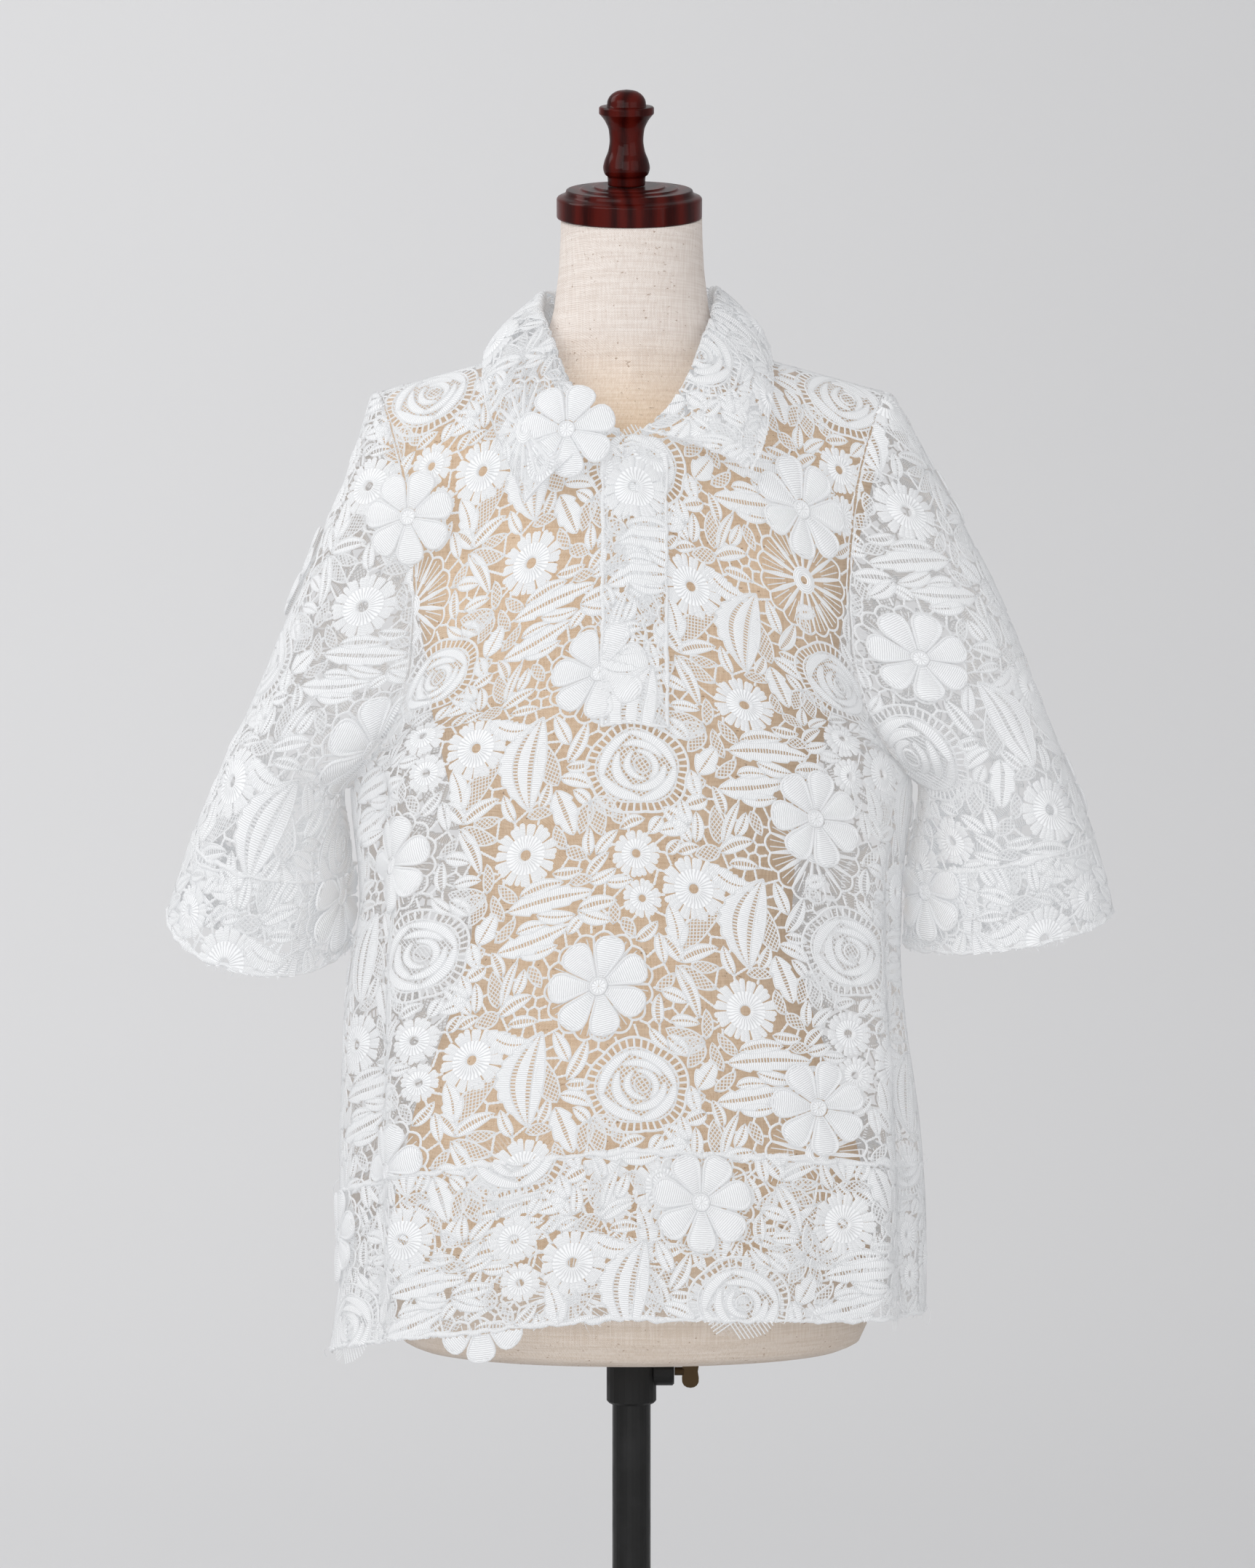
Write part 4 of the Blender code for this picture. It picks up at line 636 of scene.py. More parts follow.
def cord(drawing, line, width=1.4, rise=1.0, low=0.3, closed=False, round_top=False):
    """A raised thread along a flat line: a roof of two slopes, or of four if its top is round."""
    line = np.asarray(line, float)
    if len(line) < 2:
        return
    way = np.roll(line, -1, 0) - np.roll(line, 1, 0) if closed else np.gradient(line, axis=0)
    way /= np.maximum(np.linalg.norm(way, axis=1), TINY)[:, None]
    side = np.stack([way[:, 1], -way[:, 0]], 1) * (np.broadcast_to(width, len(line)) / 2)[:, None]
    shape = ROUND_ROOF if round_top else PLAIN_ROOF
    step = steps_along(line)
    low = np.broadcast_to(low, len(line))
    points, marks = [], []
    for across, up in shape:
        points.append(np.column_stack([line + side * across, low + up * rise]))
        marks.append(np.column_stack([step + across * 0.7, np.full(len(line), across * 0.5)]))
    points = np.stack(points, 1).reshape(-1, 3)
    marks = np.stack(marks, 1).reshape(-1, 2)
    drawing.add(points, marks, lattice_faces(len(line), len(shape), closed))


FILL_PITCH = 0.68


def fill(drawing, edges, heights, ribs_along=True):
    """Close stitches between lines that all have the same count of points."""
    rows = len(edges[0])
    points = np.stack([np.column_stack([e, np.broadcast_to(h, rows)]) for e, h in zip(edges, heights)], 1)
    far = steps_along(np.mean(edges, axis=0))
    marks = []
    for e in edges:
        gap = np.linalg.norm(np.asarray(e) - np.asarray(edges[0]), axis=1)
        marks.append(np.column_stack([far, gap] if ribs_along else [gap, far]) * FILL_PITCH)
    drawing.add(points.reshape(-1, 3), np.stack(marks, 1).reshape(-1, 2), lattice_faces(rows, len(edges)))


def arc(centre, radius, start, end, count, squash=1.0):
    turn = np.radians(np.linspace(start, end, count))
    return np.column_stack([centre[0] + radius * np.cos(turn), centre[1] + radius * squash * np.sin(turn)])


def ring(centre, radius, count):
    return arc(centre, radius, 0, 360, count + 1)[:-1]


def looped(line):
    """The same line with its first point added at the end."""
    return np.concatenate([line, line[:1]])


print("filling ribs lie", FILL_PITCH, "of a millimetre apart")

# %% [markdown]
# A net is two sets of crossing threads, cut where they leave their outline. The outline test counts how often a
# line from each spot crosses it.

# %% Nets
NET_STATION = 0.7


def within(spots, loop):
    """Which flat spots lie inside a closed loop."""
    x, y = spots[:, 0], spots[:, 1]
    hit = np.zeros(len(spots), bool)
    for (ax, ay), (bx, by) in zip(np.roll(loop, 1, 0), loop):
        if ay != by:
            crosses = ((ay > y) != (by > y)) & (x < (bx - ax) * (y - ay) / (by - ay) + ax)
            hit ^= crosses
    return hit


def stretches(keep):
    """Starts and ends of the unbroken runs of kept spots."""
    edges = np.flatnonzero(np.diff(np.concatenate([[0], keep.astype(int), [0]])))
    return zip(edges[::2], edges[1::2])


def net(drawing, loop, spacing, headings, width=0.75):
    """Crossing threads inside a loop."""
    loop = np.asarray(loop)
    centre = loop.mean(0)
    reach = np.linalg.norm(loop - centre, axis=1).max()
    for heading in headings:
        way = np.array([math.cos(math.radians(heading)), math.sin(math.radians(heading))])
        side = np.array([-way[1], way[0]])
        for shift in np.arange(-reach, reach, spacing):
            t = np.arange(-reach, reach, NET_STATION)
            spots = centre + side * shift + t[:, None] * way
            for a, b in stretches(within(spots, loop)):
                if b - a > 2:
                    cord(drawing, spots[[a, b - 1]], width, 0.55, 0.25)


print("net threads are cut to", NET_STATION, "mm")

# %% [markdown]
# ### Leaves
# A leaf is a spine with two halves that rise from it like a roof with a valley. Three kinds are stitched here:
# ribbed ones with a narrow slit down the spine, ones with a wider open ladder there, and ones filled with net.
# Rungs cross every slit, and the fuller leaves have teeth.

# %% Leaves
ground, relief, cover = Drawing(), Drawing(), Drawing()
LEAF_STATION = 4.5
LEAF_LOW = 0.35
SLITS = {"ladder": 1.5, "ribbed": 0.75}
RUNG_STEP = 2.1
RUNG_SHORTEST = 0.35
NET_TURN = 40


def leaf(base, tip, width, kind, bend, teeth, rim=1.3):
    a, b = np.array(base, float), np.array(tip, float)
    way = b - a
    length = np.hypot(*way)
    count = 6 + 3 * teeth + int(length / LEAF_STATION)
    t = np.linspace(0, 1, count)
    across = np.array([-way[1], way[0]]) / length
    spine = a + t[:, None] * way + (np.sin(math.pi * t) * bend * length)[:, None] * across
    run = np.gradient(spine, axis=0)
    run /= np.linalg.norm(run, axis=1)[:, None]
    side = np.column_stack([-run[:, 1], run[:, 0]])
    half = width / 2 * np.sin(math.pi * t ** 0.85) ** 0.72
    if teeth:
        half *= 0.80 + 0.30 * ((t * teeth) % 1.0)
    left, right = spine + side * half[:, None], spine - side * half[:, None]
    loop = np.concatenate([left, right[-2:0:-1]])
    fill(cover, [left, spine, right], [0, 0, 0])
    if kind == "net":
        heading = np.degrees(math.atan2(way[1], way[0]))
        net(ground, loop, 2.3, (heading + NET_TURN, heading - NET_TURN))
    else:
        gap = SLITS[kind] / width
        for edge in (left, right):
            inner = spine + (edge - spine) * 2 * gap
            middle = spine + (edge - spine) * 0.55
            fill(ground, [edge, middle, inner], [LEAF_LOW, LEAF_LOW + 0.75, LEAF_LOW + 0.2])
        open_half = 2 * half * gap
        for k in np.arange(1.5, length - 1.5, RUNG_STEP):
            f = k / length * (count - 1)
            i = int(f)
            if open_half[i] > RUNG_SHORTEST:
                mid = spine[i] + (spine[i + 1] - spine[i]) * (f - i)
                cord(ground, [mid - side[i] * open_half[i], mid + side[i] * open_half[i]], 0.95, 0.5, LEAF_LOW)
    cord(relief, loop, rim, 1.0, LEAF_LOW, closed=True)


print("slits in millimetres:", SLITS)

# %% [markdown]
# ### Disc flowers
# The small flowers are satin rays round a raised ring with an open eye. Each ray is its own little roof,
# and the rays run together towards the ring, so their tips stand apart and their roots don't.

# %% Disc flowers
RAY_ROOT = 0.62
RAY_WIDTHS = np.array([0.66, 0.84, 0.86, 0.42])
RAY_RISES = np.array([1.15, 1.2, 1.05, 0.7])


def fill_rings(drawing, centre, radii, heights, count, ribs_along=True):
    """Close stitches between rings round one middle."""
    fill(drawing, [looped(ring(centre, r, count)) for r in radii], heights, ribs_along)


def sun(centre, radius, rays, eye):
    inner = radius * RAY_ROOT
    fill_rings(ground, centre, (eye, eye + 0.9, eye + 2.0, eye + 3.0, inner), [0.3, 2.1, 2.2, 1.5, 1.35], 28)
    fill_rings(cover, centre, (0.1, radius), [0, 0], 12)
    step = 2 * math.pi * radius / rays
    for k in range(rays):
        heading = math.radians(360 * k / rays + 2.5 * math.sin(k * 2.4))
        long = radius * (1 + 0.035 * math.sin(k * 1.7))
        c, s = math.cos(heading), math.sin(heading)
        stops = (inner - 0.8, inner + (long - inner) * 0.45, long - 1.2, long)
        line = [(centre[0] + c * r, centre[1] + s * r) for r in stops]
        cord(ground, line, step * RAY_WIDTHS, RAY_RISES, 0.25)


print("a ray's root lies at", RAY_ROOT, "of the disc's radius")

# %% [markdown]
# ### The raised flower
# The largest flower has free petals over a flat scalloped one. Each petal is a domed fill with a thick rim,
# narrow at the middle and round at its end, and stands off the lace by a few millimetres.

# %% Raised flower
# One petal from its root to its tip: distance from the flower's middle, and half its width there
PETAL_SHAPE = [(6.4, 1.8), (9.0, 3.2), (13.0, 5.0), (17.5, 7.0), (22.0, 8.9), (26.0, 9.6), (29.4, 8.7), (31.8, 6.0),
               (33.0, 2.0)]
PETALS = 7
PETAL_SHARES = np.linspace(-1, 1, 13)
PETAL_DOME = [0.9 * (1 - share ** 2) + (0.6 if i % 2 else 0.0) - (0.9 if i in (1, 11) else 0.0)
              for i, share in enumerate(PETAL_SHARES)]


def petal_lines(centre, heading, size):
    c, s = math.cos(heading), math.sin(heading)
    return [np.array([(centre[0] + size * (c * r - s * w * share), centre[1] + size * (s * r + c * w * share))
                      for r, w in PETAL_SHAPE]) for share in PETAL_SHARES]


def raised_flower(drawing, centre, turn, lift, size=1.0):
    along_petal = np.array([r for r, _ in PETAL_SHAPE]) / PETAL_SHAPE[-1][0]
    for k in range(PETALS):
        lines = petal_lines(centre, turn + 2 * math.pi * k / PETALS, size)
        rise = lift + 2.4 * np.sin(math.pi * 0.62 * along_petal) + 0.5 * math.sin(k * 2.1)
        fill(drawing, lines, [rise + up for up in PETAL_DOME])
        edge = np.concatenate([lines[0], lines[-1][::-1]])
        high = np.concatenate([rise, rise[::-1]]) - 0.3
        cord(drawing, edge, 1.9, 1.5, high, round_top=True)
    cord(drawing, ring(centre, 5.4 * size, 20), 1.9, 1.3, lift + 0.6, closed=True, round_top=True)
    fill_rings(drawing, centre, (0.3, 2.6 * size, 4.9 * size), [lift + 1.3, lift + 1.2, lift + 0.7], 14)


print("raised flower:", PETALS, "petals,", 2 * PETAL_SHAPE[-1][0], "mm across")

# %% [markdown]
# The flat flower under it is cut from the same lace: arched loops on spokes, and a small raised eye. Every
# third spoke is a broad one that runs in to the eye, and the thin ones between them stop half way.

# %% Flat flower
FLAT_RADIUS = 37.0
SCALLOPS = 15
# Spokes of one loop: place along it, the radii it runs through, and its width at each
SPOKES = [(0.0, (7, 20, FLAT_RADIUS * 0.9), np.array([1.7, 3.4, 1.5])),
          (0.34, (17, FLAT_RADIUS * 0.9), 0.8), (0.68, (17, FLAT_RADIUS * 0.9), 0.8)]


def flat_flower(centre):
    step = 360 / SCALLOPS
    bow = 1 + 0.10 * np.sin(np.linspace(0, math.pi, 7))
    for k in range(SCALLOPS):
        a = 360 * k / SCALLOPS
        out = arc((0, 0), 1, a, a + step, 7)
        cord(ground, np.array(centre) + out * (FLAT_RADIUS * 0.9 * bow)[:, None], 1.7, 0.9, 0.25)
        for part, radii, wide in SPOKES:
            turn = math.radians(a + step * part)
            spoke = [(centre[0] + r * math.cos(turn), centre[1] + r * math.sin(turn)) for r in radii]
            cord(ground, spoke, wide, 0.8, 0.2)
    fill_rings(ground, centre, (2.6, 4.4, 6.2, 9), [0.3, 1.9, 1.3, 0.4], 24, ribs_along=False)
    fill_rings(cover, centre, (0.1, FLAT_RADIUS), [0, 0], 16)


print("flat flower:", SCALLOPS, "loops,", SCALLOPS * len(SPOKES), "spokes")

# %% [markdown]
# ### Rose and fan
# The rose is a netted round inside a scalloped ring on ladder spokes, with crescent petals wrapped over the net.
# The fan is a thick crescent whose filling runs in three curved bands, with ladders between and a toothed edge.

# %% Rose
# The rose's petals: radius, depth, start and end of each arc in degrees, and how far its middle lies aside
PETAL_ARCS = [(26, 6.5, 100, 196, 0, 0), (26, 6.5, 186, 282, 0, 0), (26, 6.5, 272, 368, 0, 0),
              (26, 6, 2, 106, 0, 0), (18, 5.5, 140, 262, 1, 0), (18, 5.5, 246, 372, 1, 0),
              (17, 5, 24, 128, 1, 2), (11, 4, -60, 110, 3, 1), (11, 4, 118, 286, 2, 1)]


ROSE_STATIONS = 84
CRESCENT_LOW = 0.7
CRESCENT_DOME = 0.9


def crescent(outer, inner):
    taper = np.sin(math.pi * np.linspace(0.02, 0.98, len(outer))) ** 0.6
    inner = outer + (inner - outer) * taper[:, None]
    lines = [outer + (inner - outer) * f for f in np.linspace(0, 1, 3)]
    fill(ground, lines, [CRESCENT_LOW + CRESCENT_DOME * high for high in (0.35, 1.0, 0.35)])
    fill(cover, [outer, inner], [0, 0])
    for line in (lines[0], lines[2]):
        cord(relief, line, 1.2, 1.1, CRESCENT_LOW + 0.1)


def rose(centre):
    x, y = centre
    turns = np.linspace(0, 2 * math.pi, ROSE_STATIONS, endpoint=False)
    bow = 1 + 0.075 * np.abs(np.sin(2.5 * turns + 0.4))
    outer = np.column_stack([x + 33 * bow * np.cos(turns), y + 30 * bow * np.sin(turns)])
    inner = np.column_stack([x + 26.5 * bow * np.cos(turns), y + 23.5 * bow * np.sin(turns)])
    cord(ground, outer, 1.9, 1.2, 0.25, closed=True)
    cord(relief, inner, 1.3, 1.1, 0.3, closed=True)
    for k in range(0, ROSE_STATIONS, 2):
        cord(ground, [inner[k], outer[k]], 1.5, 0.7, 0.2)
    fill(cover, [looped(ring(centre, 0.1, ROSE_STATIONS)), looped(outer)], [0, 0])
    net(ground, inner, 2.6, (35, -55), 0.9)
    for radius, deep, start, end, aside, above in PETAL_ARCS:
        at = (x + aside, y + above)
        crescent(*(arc(at, r, start, end, 15, 0.9) for r in (radius, radius - deep)))
    cord(relief, ring((x + 3, y + 1), 5.4, 14), 1.4, 1.4, 0.8, closed=True)


print("rose:", len(PETAL_ARCS), "crescent petals,", ROSE_STATIONS // 2, "ladder spokes")

# %% [markdown]
# The fan's lines all run from its top to its bottom, each bowed by its own share. The first one is toothed.

# %% Fan
FAN_LINES = (0, 0.13, 0.26, 0.38, 0.5, 0.62, 0.74, 0.87, 1)
FAN_RUNG = 0.85


def fan(top, bottom, belly, waist):
    """A crescent from top to bottom: belly is how far it bows out on the left, waist on the right."""
    t = np.linspace(0, 1, 25)
    top, bottom = np.array(top, float), np.array(bottom, float)
    way = bottom - top
    side = np.array([way[1], -way[0]]) / np.hypot(*way)
    lines = []
    bow = np.sin(math.pi * t) ** 0.85
    for share in FAN_LINES:
        reach = belly * (1 - share) + waist * share
        tooth = 1 + (0.16 * ((t * 8) % 1.0) if share == 0 else 0)
        lines.append(top + t[:, None] * way + (bow * reach * tooth)[:, None] * side)
    for k in (0, 3, 6):
        fill(ground, lines[k:k + 3], [0.4, 1.3, 0.5])
    fill(cover, [lines[0], lines[-1]], [0, 0])
    for k in (0, 2, 6, 8):
        cord(relief, lines[k], 1.5 if k in (0, 8) else 1.0, 1.1, 0.45)
    for k in np.arange(2.5, 22.5, FAN_RUNG):
        i, f = int(k), k - int(k)
        for rung in ((2, 3), (5, 6)):
            cord(ground, [lines[j][i] * (1 - f) + lines[j][i + 1] * f for j in rung], 1.2, 0.6, 0.4)


print("fan:", len(FAN_LINES), "lines")

# %% [markdown]
# ## One repeat of the lace
# Everything that repeats is drawn once, round the largest disc flower. The next repeat lies 150 mm across and
# 106.5 mm up, and the one above 213 mm up. The table of leaves gives each one's stitch, start, end, width, bend
# and number of teeth, and the one of disc flowers gives the middle, radius, rays and eye.

# %% Motifs of the repeat
REPEAT_ACROSS = np.array([150.0, 106.5])
REPEAT_UP = np.array([0.0, 213.0])
FLOWER_AT = np.array([50.0, -95.0])
LEAF_FULLER = 1.12
SUN_ROWS = [(0, 0, 21.5, 30, 3.5), (114, -27.5, 21.5, 28, 3.2), (75, -8.5, 15.7, 22, 2.8), (79, -38, 13, 20, 2.4)]
LEAF_ROWS = [
    ("net", 22, 43.5, 12, 74, 12.5, 0.06, 0), ("ribbed", 30, 70, 20, 91, 8, 0.0, 0),
    ("ladder", 29, 58, 42, 83, 8.5, -0.05, 0), ("ribbed", 24, 48, 46, 39, 8, 0.08, 0),
    ("ladder", 21, 40, 33, 9, 15, 0.0, 3), ("net", -44.6, 36, -18, 65, 12.5, 0.08, 0),
    ("ribbed", -46, 38, -53, 66, 13, -0.06, 2), ("ladder", -46, 29, -19, 41, 8.5, 0.06, 0),
    ("net", -46, 26, -20, 13, 9.5, -0.06, 0), ("ladder", -48, 26, -32, -8, 8.5, 0.05, 0),
    ("net", 44, 30, 37, 9, 9.5, 0.0, 0), ("net", 46, 30, 52, 6, 10.5, 0.0, 0),
    ("net", 47, 31, 62, 17, 9, 0.05, 0), ("net", -28, -24, -55, -17, 11, 0.06, 0),
    ("net", -28, -25, -53, -33, 10, -0.05, 0), ("net", -28, -26, -40, -42, 8.5, 0.0, 0),
    ("ladder", -12, -37, 46, -31, 14, 0.03, 4), ("ladder", -4, -28, 26, -22, 8.5, 0.06, 0),
    ("ribbed", 8, -42, 34, -45, 8, -0.06, 0), ("ladder", 36, -42, 62, -39, 9, 0.05, 0),
    ("ribbed", 36, -43, 58, -52, 8.5, -0.05, 0), ("ladder", -19, -64, 29, -52, 14, -0.03, 4),
    ("ribbed", -6, -52, 14, -49, 7.5, 0.05, 0), ("ribbed", -4, -68, 22, -64, 8, -0.05, 0),
    ("ribbed", -33, -56, -21, -37, 13, 0.0, 2), ("net", -28, -60, -42, -66, 8, 0.0, 0),
    ("ladder", -27, -72, -42, -79, 9, 0.0, 0), ("ribbed", -40, -92, -60, -98, 9, 0.0, 0),
    ("ladder", -40, -92, -57, -82, 10, 0.0, 0), ("ribbed", -40, -92, -45, -75, 8, 0.0, 0),
    ("net", -19, -101, -22, -76, 9.5, 0.0, 0), ("ribbed", -16, -101, -5, -71, 5.5, 0.05, 0),
    ("ladder", -18, -107, 5, -96, 8.5, 0.08, 0), ("net", -18, -106, -35, -111, 9.5, 0.0, 0),
    ("ribbed", -26, -116, 6, -127, 13, -0.16, 6), ("net", 3, -76, 11, -91, 7, 0.0, 0),
    ("net", 66, -51, 74, -64, 7, 0.0, 0), ("ribbed", 100, 20, 112, 4, 8, 0.0, 0),
    ("net", 60, 22, 66, 12, 7, 0.0, 0), ("ribbed", 44, 92, 60, 98, 8.5, 0.08, 0),
    ("net", 44, 90, 56, 82, 8, 0.0, 0),
    ("ladder", 96, 84, 110, 72, 9, 0.06, 0), ("ribbed", 112, 52, 118, 34, 9, -0.06, 0),
    ("ladder", 93, -62, 106, -78, 10, 0.06, 0), ("ribbed", 90, -60, 94, -80, 7.5, 0.0, 0),
    ("ribbed", 92, 18, 84, 6, 7.5, 0.0, 0), ("net", 28, 0, 42, -8, 8, 0.0, 0),
    ("ribbed", -58, 8, -40, 2, 8, 0.05, 0), ("ladder", 96, -6, 104, 4, 6.5, 0.0, 0),
]
for x, y, radius, rays, eye in SUN_ROWS:
    sun((x, y), radius, rays, eye)
for kind, x1, y1, x2, y2, wide, bend, teeth in LEAF_ROWS:
    leaf((x1, y1), (x2, y2), wide * LEAF_FULLER, kind, bend, teeth)
rose((76.0, 50.0))
fan((12, 92), (3, 29), 25, -6)
flat_flower(FLOWER_AT)
print("motifs drawn:", len(SUN_ROWS) + len(LEAF_ROWS) + 3)

# %% [markdown]
# ## Bars between the motifs
# Bars are stitched wherever two motifs lie apart. A map of what is covered shows where the gaps are; spots are
# strewn over the open ground, and each bar runs half way between two of them, like walls between soap bubbles.

# %% Map of covered ground
MAP_STEP = 0.75
MAP_SIZE = (int(REPEAT_ACROSS[0] / MAP_STEP), int(REPEAT_UP[1] / MAP_STEP))
covered = np.zeros(MAP_SIZE, bool)


def wrapped(spots):
    k = np.floor(spots[:, 0] / REPEAT_ACROSS[0])
    moved = spots - k[:, None] * REPEAT_ACROSS
    return np.column_stack([moved[:, 0], np.mod(moved[:, 1], REPEAT_UP[1])])


def map_cells(spots):
    cells = (wrapped(spots) / MAP_STEP).astype(int)
    return np.minimum(cells[:, 0], MAP_SIZE[0] - 1), np.minimum(cells[:, 1], MAP_SIZE[1] - 1)


def mark_covered(first):
    """Adds the cover drawing's pieces to the map, from this number on."""
    for points, faces, base in zip(cover.points[first:], cover.faces[first:], cover.bases[first:]):
        for one in points[faces - base][:, :, :2]:
            shares = np.linspace(0, 1, int(np.ptp(one, axis=0).max() / 0.5) + 3)
            a, b = [g.ravel() for g in np.meshgrid(shares, shares)]
            a, b = a[a + b <= 1], b[a + b <= 1]
            covered[map_cells(one[0] + np.outer(a, one[1] - one[0]) + np.outer(b, one[2] - one[0]))] = True


def open_ground(spots, clear=1.6):
    """Which spots have nothing stitched within this distance."""
    turns = np.linspace(0, 2 * math.pi, 12, endpoint=False)
    blocked = covered[map_cells(spots)]
    for turn in turns:
        blocked |= covered[map_cells(spots + np.array([math.cos(turn), math.sin(turn)]) * clear)]
    return ~blocked


mark_covered(0)
print("covered by motifs:", round(100 * covered.mean()), "%")

# %% [markdown]
# Small leaves fill what is still wide open, turned to whichever heading leaves the most room. The widest gaps,
# which are cut through the solid pieces too, stay free.

# %% Small filling leaves
CUT_GAPS = [(-21.5, 33.5), (9.5, 100), (-15.5, 20), (38, 8.5), (-29, 1), (3, 113), (16, 31), (16.5, 84.5),
            (18.5, 70), (23, -62), (-35, -101)]
CUT_GAP_CLEAR = 7.5
SMALL_LEAF_CLEAR = 3.9
SMALL_LEAF_WIDE = 7.6
LEAF_TRIES = 2600
dice = np.random.default_rng(7)
shifts = [i * REPEAT_ACROSS + j * REPEAT_UP for i in (-1, 0, 1) for j in (-2, -1, 0, 1, 2)]


def nearest(spot, places):
    """How far the nearest of these places lies, in this repeat or in those round it."""
    return min(np.min(np.hypot(*(np.array(places) + s - spot).T)) for s in shifts)


def roomiest(spot):
    """The heading with the most open ground on both sides of a spot, and how much that is."""
    best, best_room = None, -1
    for heading in np.linspace(0, math.pi, 9)[:-1]:
        way = np.array([math.cos(heading), math.sin(heading)])
        room = sum(bool(open_ground((spot + way * r)[None], 2.0)[0]) for r in (-9, -7, -5, 5, 7, 9))
        if room > best_room:
            best, best_room = way, room
    return best, best_room


small = 0
for spot in dice.uniform((0, 0), (REPEAT_ACROSS[0], REPEAT_UP[1]), (LEAF_TRIES, 2)):
    if nearest(spot, CUT_GAPS) < CUT_GAP_CLEAR or not open_ground(spot[None], SMALL_LEAF_CLEAR)[0]:
        continue
    way, room = roomiest(spot)
    first = len(cover.points)
    reach = way * (6.5 + 0.6 * room)
    kind = ("ribbed", "ladder", "net")[small % 3]
    leaf(spot - reach, spot + reach, SMALL_LEAF_WIDE, kind, 0.06 * (-1) ** small, 0, rim=1.2)
    mark_covered(first)
    small += 1
print("small leaves:", small, "covered now:", round(100 * covered.mean()), "%")

# %% [markdown]
# The gaps between bars are seeded first: the ones that are cut through the solid pieces too, a few listed
# between the larger motifs, and then others strewn at random, each some millimetres from the last.

# %% Gap places
GAP_MARKS = CUT_GAPS + [(-14.5, 92), (32, 50.5), (40, 59), (14, 46), (33, -10.5), (22, -16), (24, -4), (-19, -20),
                        (-8, -25), (20, -22), (-38, -49.5), (-11, -51.6), (-23, -60.5)]
GAP_APART = 6.2
GAP_TRIES = 9000
gap_spots = [m for m in wrapped(np.array(GAP_MARKS, float)) if open_ground(m[None], 0.8)[0]]
candidates = dice.uniform((0, 0), (REPEAT_ACROSS[0], REPEAT_UP[1]), (GAP_TRIES, 2))
for spot in candidates[open_ground(candidates)]:
    if nearest(spot, gap_spots) > GAP_APART:
        gap_spots.append(spot)
gap_spots = np.array(gap_spots)
print("gaps in one repeat:", len(gap_spots))

# %% [markdown]
# Three neighbouring gaps make a triangle, and the middle of the circle through its corners is as far from all
# three. Bars run from one such middle to the next, which is how walls stand between soap bubbles.

# %% Where bars meet
def circle_middles(a, b, c):
    squares = [(p ** 2).sum(1) for p in (a, b, c)]
    ups = [b[:, 1] - c[:, 1], c[:, 1] - a[:, 1], a[:, 1] - b[:, 1]]
    backs = [c[:, 0] - b[:, 0], a[:, 0] - c[:, 0], b[:, 0] - a[:, 0]]
    double = 2 * (a[:, 0] * ups[0] + b[:, 0] * ups[1] + c[:, 0] * ups[2])
    return np.column_stack([squares[0] * side[0] + squares[1] * side[1] + squares[2] * side[2]
                            for side in (ups, backs)]) / double[:, None]


tiled = np.concatenate([gap_spots + s for s in shifts])
spots, _, triangles = delaunay_2d_cdt([Vector(p) for p in tiled], [], [], 0, 1e-4)[:3]
spots = np.array([tuple(p) for p in spots])
triangles = np.array(triangles)
middles = circle_middles(*(spots[triangles[:, k]] for k in range(3)))
sides = {}
for number, corner in enumerate(triangles):
    for k in range(3):
        sides.setdefault(tuple(sorted((corner[k], corner[(k + 1) % 3]))), []).append(number)
print("triangles between gaps:", len(triangles))

# %% [markdown]
# Only the part of a bar that lies on open ground is stitched, with its ends caught under the motifs. Its width
# goes up and down, since a bar is a thread with another wound round it.

# %% Bars
BAR_LENGTHS = (0.8, 60.0)
BAR_SHOWS = 1.2
BAR_STATION = 1.25


def in_first_repeat(spot):
    return 0 <= spot[0] < REPEAT_ACROSS[0] and 0 <= spot[1] < REPEAT_UP[1]


bars = 0
for pair in sides.values():
    if len(pair) < 2:
        continue
    start, end = middles[pair[0]], middles[pair[1]]
    length = np.hypot(*(end - start))
    if not (in_first_repeat((start + end) / 2) and BAR_LENGTHS[0] <= length <= BAR_LENGTHS[1]):
        continue
    steps = max(int(length / 0.5), 2)
    line = start + np.linspace(0, 1, steps)[:, None] * (end - start)
    for first, last in stretches(~covered[map_cells(line)]):
        first, last = max(first - 2, 0), min(last + 1, steps - 1)
        far = np.hypot(*(line[last] - line[first]))
        if far < BAR_SHOWS:
            continue
        stations = max(int(far / BAR_STATION), 2)
        bar = line[first] + np.linspace(0, 1, stations + 1)[:, None] * (line[last] - line[first])
        cord(ground, bar, 1.3 + 0.7 * (np.arange(stations + 1) % 2), 0.8, -0.1)
        bars += 1
print("bars in one repeat:", bars)

# %% [markdown]
# ## Laying the repeat on a piece
# The drawing is repeated over the flat piece, cut off at its outline, and lifted on to the worn shape.
# A folded or sewn edge gets its own thick cord, since the real edge is turned in and stitched down.

# %% Laying
ground_arrays, relief_arrays = ground.joined(), relief.joined()
print("triangles in one repeat: fills and bars", len(ground_arrays[2]), "raised threads", len(relief_arrays[2]))
# The flat box that holds one repeat's drawing, round its start
CELL_BOX = np.array([(-62.0, -134.0), (215.0, 216.0)])


def offsets(loop, start):
    """Where each repeat starts that reaches into an outline."""
    low, high = loop.min(0), loop.max(0)
    starts = [np.array(start) + i * REPEAT_ACROSS + j * REPEAT_UP for i in range(-6, 7) for j in range(-8, 9)]
    return [at for at in starts if np.all(at + CELL_BOX[1] > low) and np.all(at + CELL_BOX[0] < high)]


